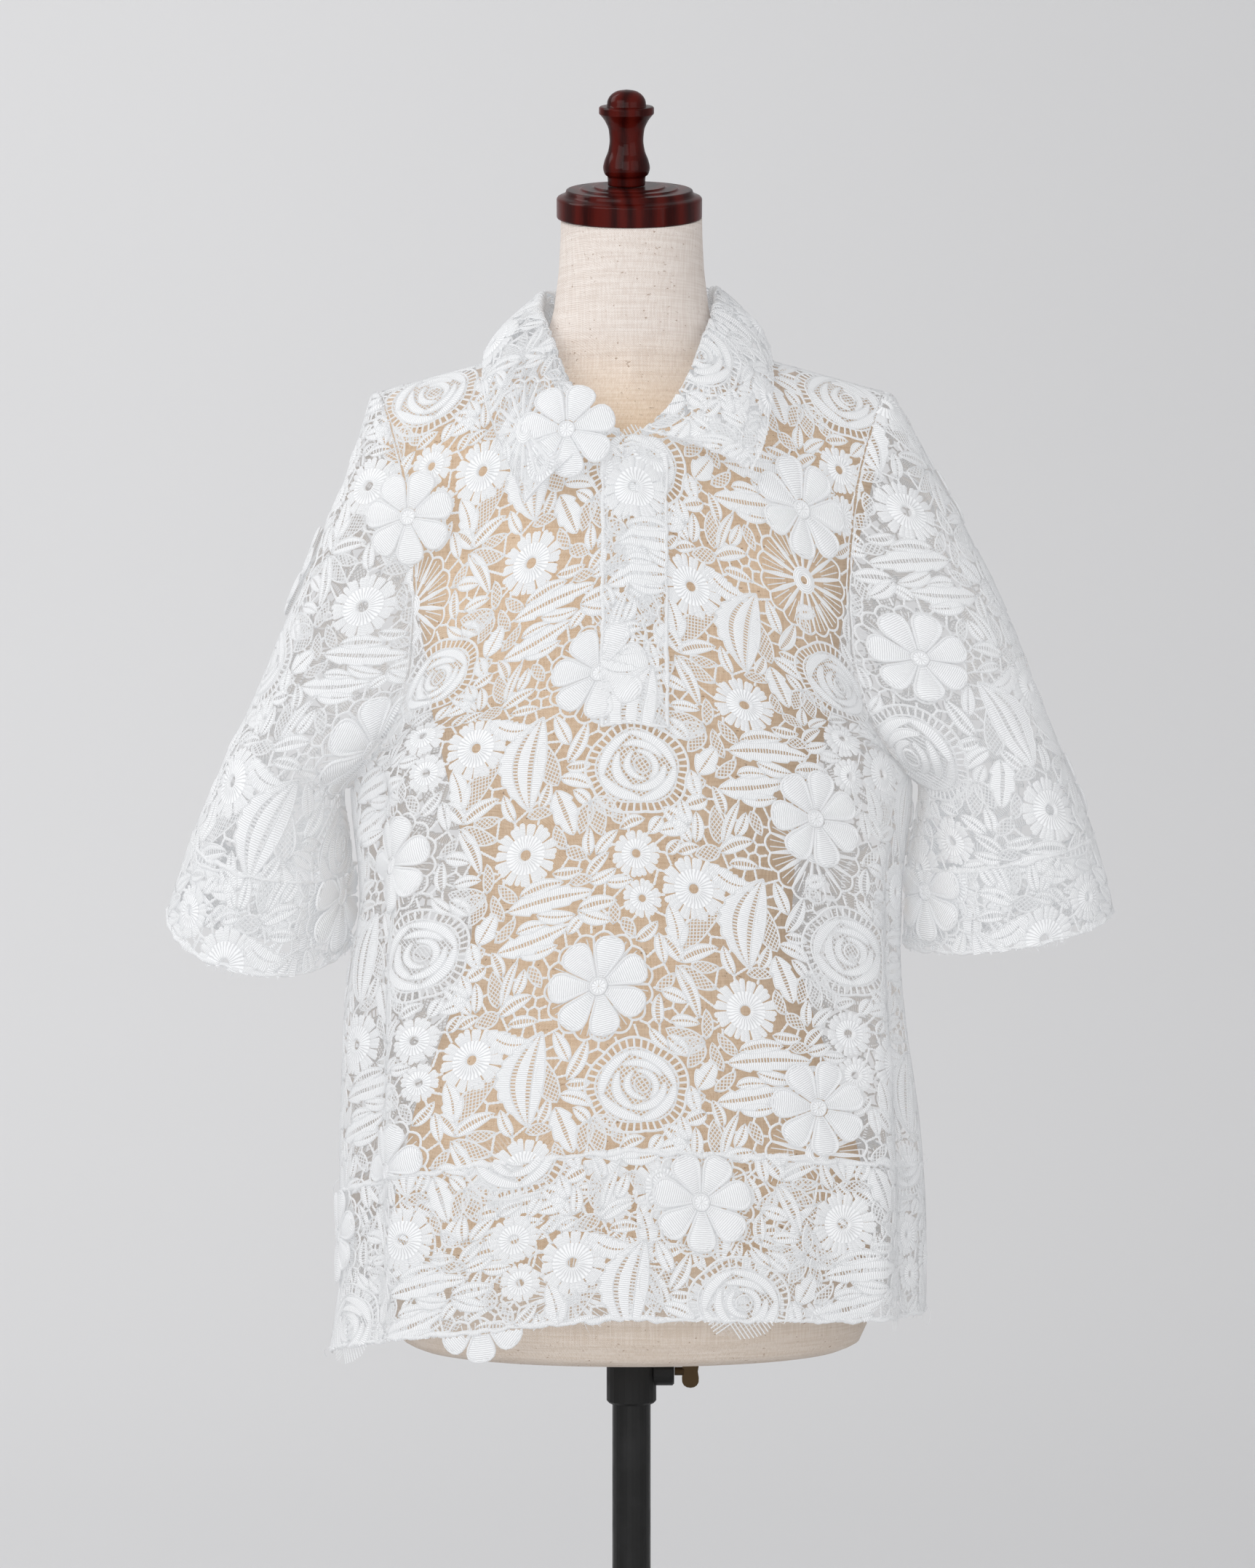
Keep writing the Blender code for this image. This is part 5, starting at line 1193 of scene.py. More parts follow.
def cut(points, marks, faces, loop):
    """The triangles whose middles lie inside an outline, and only the points they use."""
    faces = faces[within(points[faces].mean(1)[:, :2], loop)]
    used = np.unique(faces)
    number = np.zeros(len(points), int)
    number[used] = np.arange(len(used))
    return points[used], marks[used], number[faces]


def repeated(arrays, loop, start, lift):
    points, marks, faces = arrays
    result = Drawing()
    for at in offsets(loop, start):
        result.add(*cut(points + (at[0], at[1], lift), marks, faces, loop))
    return result


# %% [markdown]
# A flat drawing becomes a mesh once its points are looked up on the worn cloth. The stitch lengths go into a
# UV layer, which is where a material can read them. Every piece rides on the form's body.

# %% From a drawing to a piece
LACE = []


def mesh_piece(name, points, marks, faces):
    mesh = bpy.data.meshes.new(name)
    mesh.vertices.add(len(points))
    mesh.vertices.foreach_set("co", np.ascontiguousarray(points, np.float32).ravel())
    mesh.loops.add(faces.size)
    mesh.loops.foreach_set("vertex_index", np.ascontiguousarray(faces, np.int32).ravel())
    mesh.polygons.add(len(faces))
    mesh.polygons.foreach_set("loop_start", np.arange(0, faces.size, 3, dtype=np.int32))
    mesh.polygons.foreach_set("use_smooth", np.ones(len(faces), bool))
    mesh.update(calc_edges=True)
    layer = mesh.uv_layers.new(name="marks")
    layer.data.foreach_set("uv", np.ascontiguousarray(marks[faces.ravel()], np.float32).ravel())
    piece = bpy.data.objects.new(name, mesh)
    bpy.context.collection.objects.link(piece)
    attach(piece, "form")
    LACE.append(piece)
    return piece


def worn(name, cloth, drawing):
    points, marks, faces = drawing.joined()
    return mesh_piece(name, cloth.place(points) * MM, marks, faces[:, ::-1] if cloth.flip else faces)


print("pieces of lace so far:", len(LACE))

# %% [markdown]
# Each sheet prints how large its flat cut is, and its area is summed over the same grid. A sewn or
# turned edge wanders a little, because the stitches bunch, and the dice draw that anew for each edge.

# %% Measuring and edging
BUNCH_STEP = 1.6


def cut_area(cloth, loop):
    """Area of the cloth inside an outline, in square millimetres, summed over its grid."""
    u, v = np.meshgrid((cloth.us[1:] + cloth.us[:-1]) / 2, (cloth.vs[1:] + cloth.vs[:-1]) / 2)
    inside = within(np.column_stack([u.ravel(), v.ravel()]), loop).reshape(u.shape)
    across = np.diff(cloth.points, axis=1)[:-1]
    up = np.diff(cloth.points, axis=0)[:, :-1]
    return float(np.linalg.norm(np.cross(across, up), axis=2)[inside].sum())


def edge_cord(drawing, line, width, rise, low):
    """A sewn or turned edge: an uneven cord of bunched stitches."""
    far = steps_along(line)
    stops = np.linspace(0, far[-1], max(int(far[-1] / BUNCH_STEP), 3))
    wander = [np.convolve(dice.normal(0, 1, len(stops) + 4), np.ones(5) / 5, "valid") for _ in range(3)]
    spots = np.column_stack([np.interp(stops, far, line[:, k]) + wander[k] * 0.34 * width for k in (0, 1)])
    widths = width * (1 + 0.5 * np.clip(wander[2], -1, 1))
    rises = rise * (1 + 0.6 * np.clip(wander[0], -1, 1))
    cord(drawing, spots, widths, rises, low, round_top=True)


print("bunched stitches every", BUNCH_STEP, "mm")

# %% [markdown]
# Laying a piece takes all of this together: the repeat cut to the outline, a second layer under a doubled piece,
# thick edges, and the raised flowers that fall inside, except beside a free flower of its own.

# %% Laying one piece
LAYERS_APART = 2.2
FLOWERS_APART = 50


def lay(name, cloth, loop, start, edges, nodes, lift=0.0, second=None, blooms=(), turn=0):
    """One cut piece of lace: its fills and bars as a sheet, and its raised threads on top.

    second is where the inner layer of a doubled piece starts; that layer lies a little under the first, and the
    piece is counted twice as deep in its flat size.
    """
    base = repeated(ground_arrays, loop, start, lift)
    if second is not None:
        base.add(*repeated(ground_arrays, loop, second, lift - LAYERS_APART).joined())
    top = repeated(relief_arrays, loop, start, lift)
    for line, width, rise in edges:
        edge_cord(top, line, width, rise, lift - 0.4)
    flowers = 0
    for at in offsets(loop, start):
        centre = at + FLOWER_AT
        near = [math.dist(centre, bloom) < FLOWERS_APART for bloom in blooms]
        if within(centre[None], loop)[0] and not any(near):
            flower = Drawing()
            raised_flower(flower, centre, math.radians(-90 + 3 * turn), lift + 1.2)
            top.add(*cut(*flower.joined(), loop))
            flowers += 1
    sheet_piece = worn(name, cloth, base)
    top_piece = worn(name + "_threads", cloth, top)
    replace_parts(sheet_piece, *nodes)
    layers = 1 if second is None else 2
    flat = (loop.max(0) - loop.min(0)) * MM * (1, layers)
    flat_area = min(cut_area(cloth, loop) * layers * MM * MM, float(np.prod(flat)))
    stitches, threads = (piece.data.polygons for piece in (sheet_piece, top_piece))
    spread = sum(p.area for p in stitches) / flat_area
    print(f"{name}: {len(stitches)} + {len(threads)} triangles, {flowers} flowers, cover {spread:.2f}, flat",
          [round(float(x), 3) for x in flat], round(flat_area, 4))


print("a doubled piece's layers lie", LAYERS_APART, "mm apart")

# %% [markdown]
# ## Cut pieces
# The body is two pieces joined at the sides, with a doubled band sewn on below. Each sleeve is one piece, and
# its cuff is a doubled band. Every outline below follows the seams of the solid pieces.

# %% Where things lie on the pieces
HEM_DEEP = 112.0
CUFF_DEEP = 55.0
SEAM = 0.4
EDGE_INSET = 0.2
ARMHOLE_LOW = 408.0
SLEEVE_TOP = 397.0
CUT_RIM = (1.1, 0.7)
DOUBLED_RIM = (2.6, 1.4)
# Where one repeat starts on each piece, and where the free flowers lie on it
LACE_START = {"front": (78.0, 212.0), "back": (20.0, 150.0), "left": (94.0, 236.0), "right": (70.0, 297.0)}
BLOOMS = {"front": [(-22, 223.5), (128, 352), (124, 590), (128, 149)],
          "back": [(70, 268), (70, 481), (-80, 374), (-80, 587)],
          "left": [(-6, 247.5)], "right": [(116, 200)]}


print("free flowers planned:", {label: len(places) for label, places in BLOOMS.items()})

# %% [markdown]
# An outline runs up one side of the flat piece, across its top and down the other side. The sides come from the
# lengths of the worn rows, and the body's top follows the neck curve and the shoulders.

# %% Outlines of the cut pieces
def width_at(cloth, v, side):
    return np.interp(v, cloth.vs, cloth.widths[side])


def side_lines(cloth, levels, inset):
    """Up the piece's one side, and down its other side."""
    up = [(width_at(cloth, v, 0) - inset, v) for v in levels]
    down = [(-width_at(cloth, v, 1) + inset, v) for v in levels[::-1]]
    return up, down


def bent_levels(low, bend, top, counts):
    """Levels below and above the place where a side turns in, at the foot of the armhole."""
    return np.concatenate([np.linspace(low, bend, counts[0]), np.linspace(bend, top, counts[1])[1:]])


def body_loop(cloth, neck):
    up, down = side_lines(cloth, bent_levels(HEM_DEEP + SEAM, ARMHOLE_LOW, cloth.top, (30, 45)), EDGE_INSET)
    u = np.linspace(0, neck[-1][0], 20)
    drop = smooth(u, *np.array(neck).T)
    arch = [(a, cloth.top - d) for a, d in zip(u, drop)]
    return np.array(up + arch[::-1] + [(-a, b) for a, b in arch[1:]] + down)


def band_loop(cloth, deep):
    up, down = side_lines(cloth, np.linspace(0.0, deep, 16), EDGE_INSET)
    return np.array(up + down)


def sleeve_loop(cloth):
    up, down = side_lines(cloth, bent_levels(CUFF_DEEP + SEAM, UNDERARM_V, SLEEVE_TOP, (12, 50)), SEAM)
    return np.array(up + down)


def level_line(start, end, v):
    """A flat line at one height, for a band's fold or its seam."""
    return np.column_stack([np.linspace(start, end, 90), np.full(90, v)])


front_loop, back_loop = body_loop(front, FRONT_NECK), body_loop(back, BACK_NECK)
print("front is", np.ptp(front_loop, axis=0).round(), "mm flat")

# %% [markdown]
# The body's cut edges get a thin cord. The hem band is folded at its foot and sewn on along its top, and both
# lines are thicker, because several layers are caught in one row of stitches.

# %% Body and hem band
for label, cloth, loop, turn in (("front", front, front_loop, 0), ("back", back, back_loop, 2)):
    lay(f"{label}_lace", cloth, loop, LACE_START[label], [(looped(loop), *CUT_RIM)], [label],
        blooms=BLOOMS[label], turn=turn)
for label, cloth, start in (("front", front, (-3.0, -38.0)), ("back", back, (40.0, -20.0))):
    loop = band_loop(cloth, HEM_DEEP)
    half = len(loop) // 2
    fold = level_line(loop[-1][0], loop[0][0], 0.8)
    seam = level_line(loop[half][0], loop[half - 1][0], HEM_DEEP)
    lay(f"hem_band_{label}_lace", cloth, loop, start, [(fold, 3.4, 2.0), (seam, 4.2, 2.2)],
        [f"hem_band_{label}"], second=(start[0] + 61, start[1] + 47))
print("pieces of lace so far:", len(LACE))

# %% [markdown]
# One flat sleeve stands for two solids, its front and back halves. The cuff is a doubled band like the hem.

# %% Sleeves and cuffs
for side, cloth in (("left", sleeve_left), ("right", sleeve_right)):
    loop = sleeve_loop(cloth)
    lay(f"sleeve_{side}_lace", cloth, loop, LACE_START[side], [(looped(loop), *CUT_RIM)],
        [f"sleeve_{side}_front", f"sleeve_{side}_back"], blooms=BLOOMS[side])
    loop = band_loop(cloth, CUFF_DEEP)
    fold, seam = (level_line(loop[-1][0], loop[0][0], v) for v in (0.8, CUFF_DEEP))
    lay(f"cuff_{side}_lace", cloth, loop, (-20.0, 30.0), [(fold, 3.0, 1.8), (seam, 3.6, 2.0)],
        [f"cuff_{side}"], second=(41.0, 75.0))
print("pieces of lace so far:", len(LACE))

# %% [markdown]
# The placket lies on the front, so it is laid on the front's cloth and lifted. The collar's sheet runs from its
# outer edge over the roll down to the neck seam. A flower of its own covers one corner, so the repeat leaves
# that place free.

# %% Placket and collar
loop = np.array([(-20.0, 397.0), (24.0, 397.0), (24.0, 592.0), (-20.0, 592.0)])
shares = np.linspace(0, 1, 24, endpoint=False)[:, None]
rim = np.concatenate([p + shares * (q - p) for p, q in zip(loop, np.roll(loop, -1, 0))] + [loop[:1]])
lay("placket_lace", front, loop, (2.0, 560.0), [(rim, *DOUBLED_RIM)], ["placket"], lift=3.2, second=(50.0, 510.0))
ends = collar.us
loop = np.concatenate([np.column_stack([ends, np.zeros(len(ends))]),
                       np.column_stack([ends[::-1], collar.top[::-1] - 0.5])])
lay("collar_lace", collar, loop, (-8.0, 120.0), [(looped(loop), *DOUBLED_RIM)], ["collar"],
    second=(50.0, 160.0), blooms=[(42, 25)])
print("pieces of lace so far:", len(LACE))

# %% [markdown]
# ## Free flowers
# The flowers that stand on open cloth are pieces of their own, as on the real lace where they are worked
# separately and caught down only at the middle.

# %% Free flowers
number = 0
for label, cloth in (("front", front), ("back", back), ("left", sleeve_left), ("right", sleeve_right)):
    for place in BLOOMS[label]:
        number += 1
        flower = Drawing()
        raised_flower(flower, place, math.radians(-90 + 9 * (number % 3)), 2.2)
        node = f"bloom_{number:02d}_{label if label in ('front', 'back') else 'sleeve_' + label}"
        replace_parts(worn(f"flower_{number:02d}", cloth, flower), node)
print("free flowers:", number)

# %% [markdown]
# One more flower is caught in the hem's fold on the wearer's right, so three of its petals hang below the edge.
# Another is sewn over the collar's front edge and one over the armhole's seam, where the repeat was cut through.

# %% Flowers over edges
flower = Drawing()
raised_flower(flower, (-99.0, 10.0), math.radians(-90), -3.4, 0.9)
points, marks, faces = flower.joined()
below_fold = points[faces][:, :, 1].max(1) < 0.5
hem_flower = Drawing()
hem_flower.add(points, marks, faces[below_fold])
worn("hem_flower", front, hem_flower)


class Plate:
    """A flat place in the room that a flower can lie on: its middle and the way it faces."""

    def __init__(self, middle, facing):
        self.middle = np.array(middle, float)
        self.out = np.array(facing, float) / np.linalg.norm(facing)
        self.across = np.cross((0, 0, 1), self.out)
        self.across /= np.linalg.norm(self.across)
        self.up = np.cross(self.out, self.across)
        self.flip = False

    def place(self, spots):
        bowl = (spots[:, 0] ** 2 + spots[:, 1] ** 2) * 0.0035
        return (self.middle + spots[:, :1] * self.across + spots[:, 1:2] * self.up
                + (spots[:, 2:] - bowl[:, None]) * self.out)


PLATES = [("collar_flower", (-44.0, -103.0, 1356.0), (-0.16, -0.95, 0.26), 1.0),
          ("shoulder_flower", (-153.0, -74.0, 1299.0), (-0.36, -0.92, 0.12), 0.98)]
for name, middle, facing, size in PLATES:
    flower = Drawing()
    raised_flower(flower, (0.0, 0.0), math.radians(-84), 0.0, size)
    worn(name, Plate(middle, facing), flower)
print("flowers over edges:", 1 + len(PLATES))

# %% [markdown]
# Five thread ends stand out where the lace was cut. Each is a thin three-sided tube along a curl.

# %% Thread ends
# Cloth, start (u, v), way it runs, and how high it stands off
THREAD_STATIONS = 12
THREAD_ROWS = [("front", -262, 122, -3, -14, 6), ("front", 276, 4, 5, -16, 4), ("front", -268, 2, -9, -6, 5),
               ("back", 270, 120, 10, -8, 5), ("back", -240, 2, -4, -12, 4)]
ends = Drawing()
for label, u, v, du, dv, high in THREAD_ROWS:
    t = np.linspace(0, 1, THREAD_STATIONS)
    line = np.column_stack([u + du * t + 3 * np.sin(5 * t), v + dv * t ** 1.5, high * np.sin(2.4 * t)])
    path = (front if label == "front" else back).place(line)
    around = np.array([(0.35, 0, 0), (-0.18, 0.3, 0), (-0.18, -0.3, 0)])
    tube = (path[:, None] + around[None]).reshape(-1, 3)
    walls = [(3 * i, k, (k + 1) % 3) for i in range(THREAD_STATIONS - 1) for k in range(3)]
    faces = [(i + k, i + other, i + 3 + other) for i, k, other in walls]
    faces += [(i + k, i + 3 + other, i + 3 + k) for i, k, other in walls]
    ends.add(tube, np.zeros((len(tube), 2)), faces)
points, marks, faces = ends.joined()
mesh_piece("thread_ends", points * MM, marks, faces)
print("thread ends:", len(THREAD_ROWS))

# %% [markdown]
# ## The dress form
# The padded body is one smooth shape under its linen cover. Its levels follow the same table that kept the cloth
# clear of it, and the neck's top slopes down towards the front.

# %% Padded body
FORM_AROUND = 112
# Levels from the hip's rounded edge up: start, end and how many
FORM_LEVELS = [(721, 738, 8), (742, 1370, 84), (1373, 1429, 28), (1430.5, FORM["z"][-1], 20)]


def form_points():
    levels = np.concatenate([np.linspace(*run) for run in FORM_LEVELS])
    turns = np.linspace(0, 2 * math.pi, FORM_AROUND, endpoint=False)
    c, s = np.cos(turns), np.sin(turns)
    rings = []
    for z in levels:
        wide, front_deep, back_deep, square = [float(np.interp(z, FORM["z"], FORM[name]))
                                               for name in ("wide", "front", "back", "square")]
        middle = (back_deep - front_deep) / 2
        x = wide * np.sign(c) * np.abs(c) ** (2 / square)
        y = np.where(s > 0, back_deep, front_deep) * np.sign(s) * np.abs(s) ** (2 / square)
        if z > NECK_START:
            x, y = wide * c, middle + (front_deep + back_deep) / 2 * s
        share = np.clip((z - NECK_START) / (FORM["z"][-1] - NECK_START), 0, 1)
        rings.append(np.column_stack([x, y, z + math.tan(NECK_TILT) * share * (y - middle)]))
    return np.array(rings)


def ring_faces(rows, around):
    r, k = [g.ravel() for g in np.meshgrid(np.arange(rows - 1), np.arange(around), indexing="ij")]
    beside = (k + 1) % around
    return np.stack([r * around + k, r * around + beside, (r + 1) * around + beside, (r + 1) * around + k], 1)


def ring_mesh(name, rings):
    """A closed skin through rings of points, with both ends capped."""
    rows, around = rings.shape[:2]
    faces = ring_faces(rows, around).tolist()
    faces.append(tuple(range(around))[::-1])
    faces.append(tuple(range((rows - 1) * around, rows * around)))
    mesh = bpy.data.meshes.new(name)
    mesh.from_pydata([tuple(p) for p in rings.reshape(-1, 3)], [], faces)
    mesh.polygons.foreach_set("use_smooth", np.ones(len(faces), bool))
    piece = bpy.data.objects.new(name, mesh)
    bpy.context.collection.objects.link(piece)
    return piece


torso = ring_mesh("linen_body", form_points() * MM)
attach(torso, "form")
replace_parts(torso, "torso")
print("linen body", len(torso.data.polygons), "faces")

# %% [markdown]
# The cap and the finial are turned wood, so each is spun from its half outline, as on a lathe. The cap's outline
# has straight lands between its grooves, and the finial's is one flowing curve.

# %% Turned cap and finial
CAP_HALF = [(0, 0.35), (50, 0.35), (50.7, 0.6), (51, 1.4), (51, 13.4), (50.8, 14), (50.2, 14.8), (48.4, 15.6),
            (46.5, 16.2), (45.2, 17.2), (44.6, 18.6), (44.2, 19.6), (43.5, 20), (34.9, 20.3), (34.4, 20.6),
            (34, 21.2), (25.5, 21.5), (25.2, 21.8), (25, 22.4), (0.5, 22.4)]
FINIAL_HALF = [(13, 0), (13.4, 6), (15.2, 7.6), (16.4, 12), (15.4, 17), (12.8, 24), (11.8, 31), (12.4, 38),
               (14.8, 44), (18, 48.4), (19.2, 49.8), (19.2, 53.4), (18.4, 54.4), (14, 54.8), (13.2, 58.6),
               (10.8, 62.4), (6, 65.2), (0.5, 66)]
FINIAL_LOW = 23.1
LATHE_SIDES = 84
LATHE_STATIONS = 76


def spun(profile):
    turns = np.linspace(0, 2 * math.pi, LATHE_SIDES, endpoint=False)
    return np.array([[(r * math.cos(t), r * math.sin(t), z) for t in turns] for r, z in profile]) * MM


def turned(name, profile, curved, aside, low, stands_for):
    profile = np.array(profile, float) + (0, low)
    far = steps_along(profile)
    t = np.unique(np.concatenate([far, np.linspace(0, far[-1], LATHE_STATIONS)]))
    meet = smooth if curved else np.interp
    piece = ring_mesh(name, spun(np.column_stack([meet(t, far, side) for side in profile.T])))
    piece.location = (aside * MM, (FORM["back"][-1] - FORM["front"][-1]) / 2 * MM, FORM["z"][-1] * MM)
    piece.rotation_euler = (NECK_TILT, 0, 0)
    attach(piece, "form")
    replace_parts(piece, stands_for)
    print(name, len(piece.data.polygons), "faces")
    return piece


cap = turned("turned_cap", CAP_HALF, False, -1.5, 0.0, "neck_cap")
finial = turned("turned_finial", FINIAL_HALF, True, -3.5, FINIAL_LOW, "finial")

# %% [markdown]
# ## Finishes
# Each effect that more than one finish could use is a group with named inputs: stitched thread, woven cloth,
# turned wood and fine grain. A finish joins one of them to its own shader. Wiring nodes one by one is slow to
# read, so short helpers make a node, feed it and hand back its outputs.

# %% Making nodes
def feed(tree, made, links):
    """Joins an output, or writes a constant, to each named input."""
    for socket, source in links.items():
        if isinstance(source, bpy.types.NodeSocket):
            tree.links.new(source, made.inputs[socket])
        else:
            made.inputs[socket].default_value = source
    return made.outputs


def node(tree, kind, links, **settings):
    made = tree.nodes.new("ShaderNode" + kind)
    for key, value in settings.items():
        setattr(made, key, value)
    return feed(tree, made, links)


def maths(tree, operation, *values):
    return node(tree, "Math", dict(enumerate(values)), operation=operation)[0]


def mixed(tree, factor, first, second):
    return node(tree, "Mix", {0: factor, 6: first, 7: second}, data_type="RGBA")[2]


def scaled(tree, source, from_low, from_high, to_low, to_high):
    return node(tree, "MapRange", {"Value": source, "From Min": from_low, "From Max": from_high,
                                   "To Min": to_low, "To Max": to_high})[0]


def noise(tree, place, scale, detail=2.0):
    return node(tree, "TexNoise", {"Vector": place, "Scale": scale, "Detail": detail})[0]


def stretched(tree, place, x, y, z):
    return node(tree, "Mapping", {"Vector": place, "Scale": (x, y, z)})[0]


print("helpers for shaders:", [helper.__name__ for helper in (feed, node, maths, mixed, scaled, noise)])

# %% [markdown]
# A group is a small tree with sockets of its own. It gives out heights, masks and shades alone, and each
# material keeps its own shader, so one group serves several finishes.

# %% Making groups and finishes
def group(name, inputs, outputs):
    tree = bpy.data.node_groups.new(name, "ShaderNodeTree")
    for label, kind, value in inputs:
        socket = tree.interface.new_socket(label, in_out="INPUT", socket_type="NodeSocket" + kind)
        if value is not None:
            socket.default_value = value
    for label, kind in outputs:
        tree.interface.new_socket(label, in_out="OUTPUT", socket_type="NodeSocket" + kind)
    given = tree.nodes.new("NodeGroupInput").outputs
    return tree, given, tree.nodes.new("NodeGroupOutput")


def finish_of(name, colour, roughness, **values):
    material = bpy.data.materials.new(name)
    material.use_nodes = True
    tree = material.node_tree
    shader = next(n for n in tree.nodes if n.type == "BSDF_PRINCIPLED")
    feed(tree, shader, {"Base Color": (*colour, 1.0), "Roughness": roughness, **values})
    return material, tree, shader


def placed(tree):
    return node(tree, "TexCoord", {})["Object"]


def effect(tree, made_group, links):
    made = tree.nodes.new("ShaderNodeGroup")
    made.node_tree = made_group
    return feed(tree, made, links)


def bumped(tree, shader, height, strength, distance):
    result = node(tree, "Bump", {"Strength": strength, "Distance": distance, "Height": height})[0]
    feed(tree, shader, {"Normal": result})


print("helpers for finishes:", [helper.__name__ for helper in (group, finish_of, effect, bumped)])

# %% [markdown]
# ### Stitched thread
# Satin stitches lie side by side across a cord like a wound spring. The two lengths kept with every point say
# how far along and across the stitches lie, so fine ribs follow each cord wherever it goes.

# %% Stitched thread
thread, given, given_out = group(
    "stitched thread",
    [("Along", "Float", 0.0), ("Across", "Float", 0.0), ("Rib Width", "Float", 0.9), ("Unevenness", "Float", 0.5)],
    [("Height", "Float"), ("Shade", "Float")])
spot = node(thread, "CombineXYZ", {"X": given["Along"], "Y": given["Across"]})[0]
drift = maths(thread, "MULTIPLY", noise(thread, spot, 0.55), given["Unevenness"])
phase = maths(thread, "ADD", maths(thread, "DIVIDE", given["Along"], given["Rib Width"]), drift)
wave = maths(thread, "ABSOLUTE", maths(thread, "SINE", maths(thread, "MULTIPLY", phase, math.pi)))
fuzz = maths(thread, "MULTIPLY", noise(thread, spot, 4.0, 3.0), given["Unevenness"])
# Shade is the stitch wave; the lace uses it as the mask for its painted shade in the troughs
feed(thread, given_out, {"Height": maths(thread, "ADD", wave, fuzz), "Shade": wave})
print("group", thread.name)

# %% [markdown]
# White thread lets most of the light through, so the lace throws a thin shadow. A faint even glow, painted light,
# is painted on the thread as emission for the light that wanders inside it, so it shines a little even where it
# faces away.
# The troughs between stitches are painted greyer, as painted shade.

# %% White lace
SHADOW_PASSING = 0.7
# the emission is a painted glow: painted light that lifts the thread where it faces away
lace, tree, shader = finish_of("white lace thread", (0.66, 0.67, 0.68), 0.75,
                               **{"Emission Color": (0.97, 0.98, 1.0, 1.0), "Emission Strength": 0.17})
lengths = node(tree, "SeparateXYZ", {"Vector": node(tree, "UVMap", {}, uv_map="marks")[0]})
made = effect(tree, thread, {"Along": lengths["X"], "Across": lengths["Y"], "Rib Width": 0.95, "Unevenness": 0.55})
dull = noise(tree, placed(tree), 9.0)
# painted shade: the troughs between stitches get the darker grey
white = mixed(tree, made["Shade"], (0.44, 0.445, 0.455, 1), (0.73, 0.74, 0.75, 1))
passing = maths(tree, "MULTIPLY", node(tree, "LightPath", {})["Is Shadow Ray"], SHADOW_PASSING)
worn_share = scaled(tree, dull, 0.3, 0.7, 0.0, 0.25)
feed(tree, shader, {"Base Color": mixed(tree, worn_share, white, (0.64, 0.64, 0.635, 1)),
                    "Alpha": maths(tree, "SUBTRACT", 1.0, passing)})
bumped(tree, shader, made["Height"], 0.5, 0.0006)
for piece in LACE:
    piece.data.materials.append(lace)
print("finish", lace.name, "on", len(LACE), "pieces")

# %% [markdown]
# ### Linen
# The form's cover is plain weave in unbleached linen: threads of uneven thickness that cross, with thicker
# slubs and brown flecks of stalk. The weave is finer than a millimetre, so bump carries it.

# %% Woven cloth
weave, given, given_out = group(
    "woven cloth",
    [("Place", "Vector", None), ("Threads", "Float", 1300.0), ("Slub Amount", "Float", 0.5),
     ("Fleck Amount", "Float", 0.3)],
    [("Height", "Float"), ("Slubs", "Float"), ("Flecks", "Float")])
wide_way = stretched(weave, given["Place"], 30, 30, 900)
high_way = stretched(weave, given["Place"], 900, 900, 30)
slubs = maths(weave, "ADD", noise(weave, wide_way, 1.0), noise(weave, high_way, 1.0))
parts = node(weave, "SeparateXYZ", {"Vector": given["Place"]})
over = maths(weave, "SINE", maths(weave, "MULTIPLY", parts["Z"], given["Threads"]))
along_ground = maths(weave, "ADD", parts["X"], parts["Y"])
cross = maths(weave, "SINE", maths(weave, "MULTIPLY", along_ground, given["Threads"]))
knit = maths(weave, "MULTIPLY", over, cross)
specks = noise(weave, stretched(weave, given["Place"], 260, 260, 420), 1.0, 4.0)
feed(weave, given_out, {
    "Height": maths(weave, "ADD", knit, maths(weave, "MULTIPLY", slubs, given["Slub Amount"])),
    "Slubs": scaled(weave, slubs, 0.8, 1.2, 0.0, 1.0),
    "Flecks": maths(weave, "MULTIPLY", scaled(weave, specks, 0.66, 0.72, 0.0, 1.0), given["Fleck Amount"])})
print("group", weave.name)

# %% [markdown]
# The cover's colour is painted palest at the neck, where it faces the light, as painted light; warmer tan where it
# shows through the lace, as painted shade and bounced light under the lace; and greyer at the hip. So two shares by
# height mix three pairs of threads, and the flecks lie over them.

# %% Linen cover
linen, tree, shader = finish_of("unbleached linen", (0.68, 0.57, 0.47), 0.85)
place = placed(tree)
made = effect(tree, weave, {"Place": place, "Threads": 4200.0, "Slub Amount": 1.2, "Fleck Amount": 0.7})
high = node(tree, "SeparateXYZ", {"Vector": place})["Z"]
neck_share = scaled(tree, high, 1.36, 1.43, 0.0, 1.0)
# painted light: the neck's pale colour stands in for the light falling on it
pale = mixed(tree, made["Slubs"], (0.67, 0.59, 0.535, 1), (0.765, 0.70, 0.65, 1))
# painted shade: the warm tan under the lace stands in for its shade and bounced light
tan = mixed(tree, made["Slubs"], (0.66, 0.49, 0.34, 1), (0.76, 0.60, 0.45, 1))
low_greyer_colour = mixed(tree, made["Slubs"], (0.58, 0.49, 0.41, 1), (0.66, 0.58, 0.51, 1))
low_share = scaled(tree, high, 0.80, 0.76, 0.0, 1.0)
cloth_colour = mixed(tree, low_share, mixed(tree, neck_share, tan, pale), low_greyer_colour)
feed(tree, shader, {"Base Color": mixed(tree, made["Flecks"], cloth_colour, (0.25, 0.15, 0.09, 1))})
bumped(tree, shader, made["Height"], 0.35, 0.0004)
torso.data.materials.append(linen)
print("finish", linen.name)

# %% [markdown]
# ### Lacquered wood
# The cap and finial are turned, stained dark red and lacquered. Grain runs along the wood under a clear coat
# that is smooth apart from slight waviness.

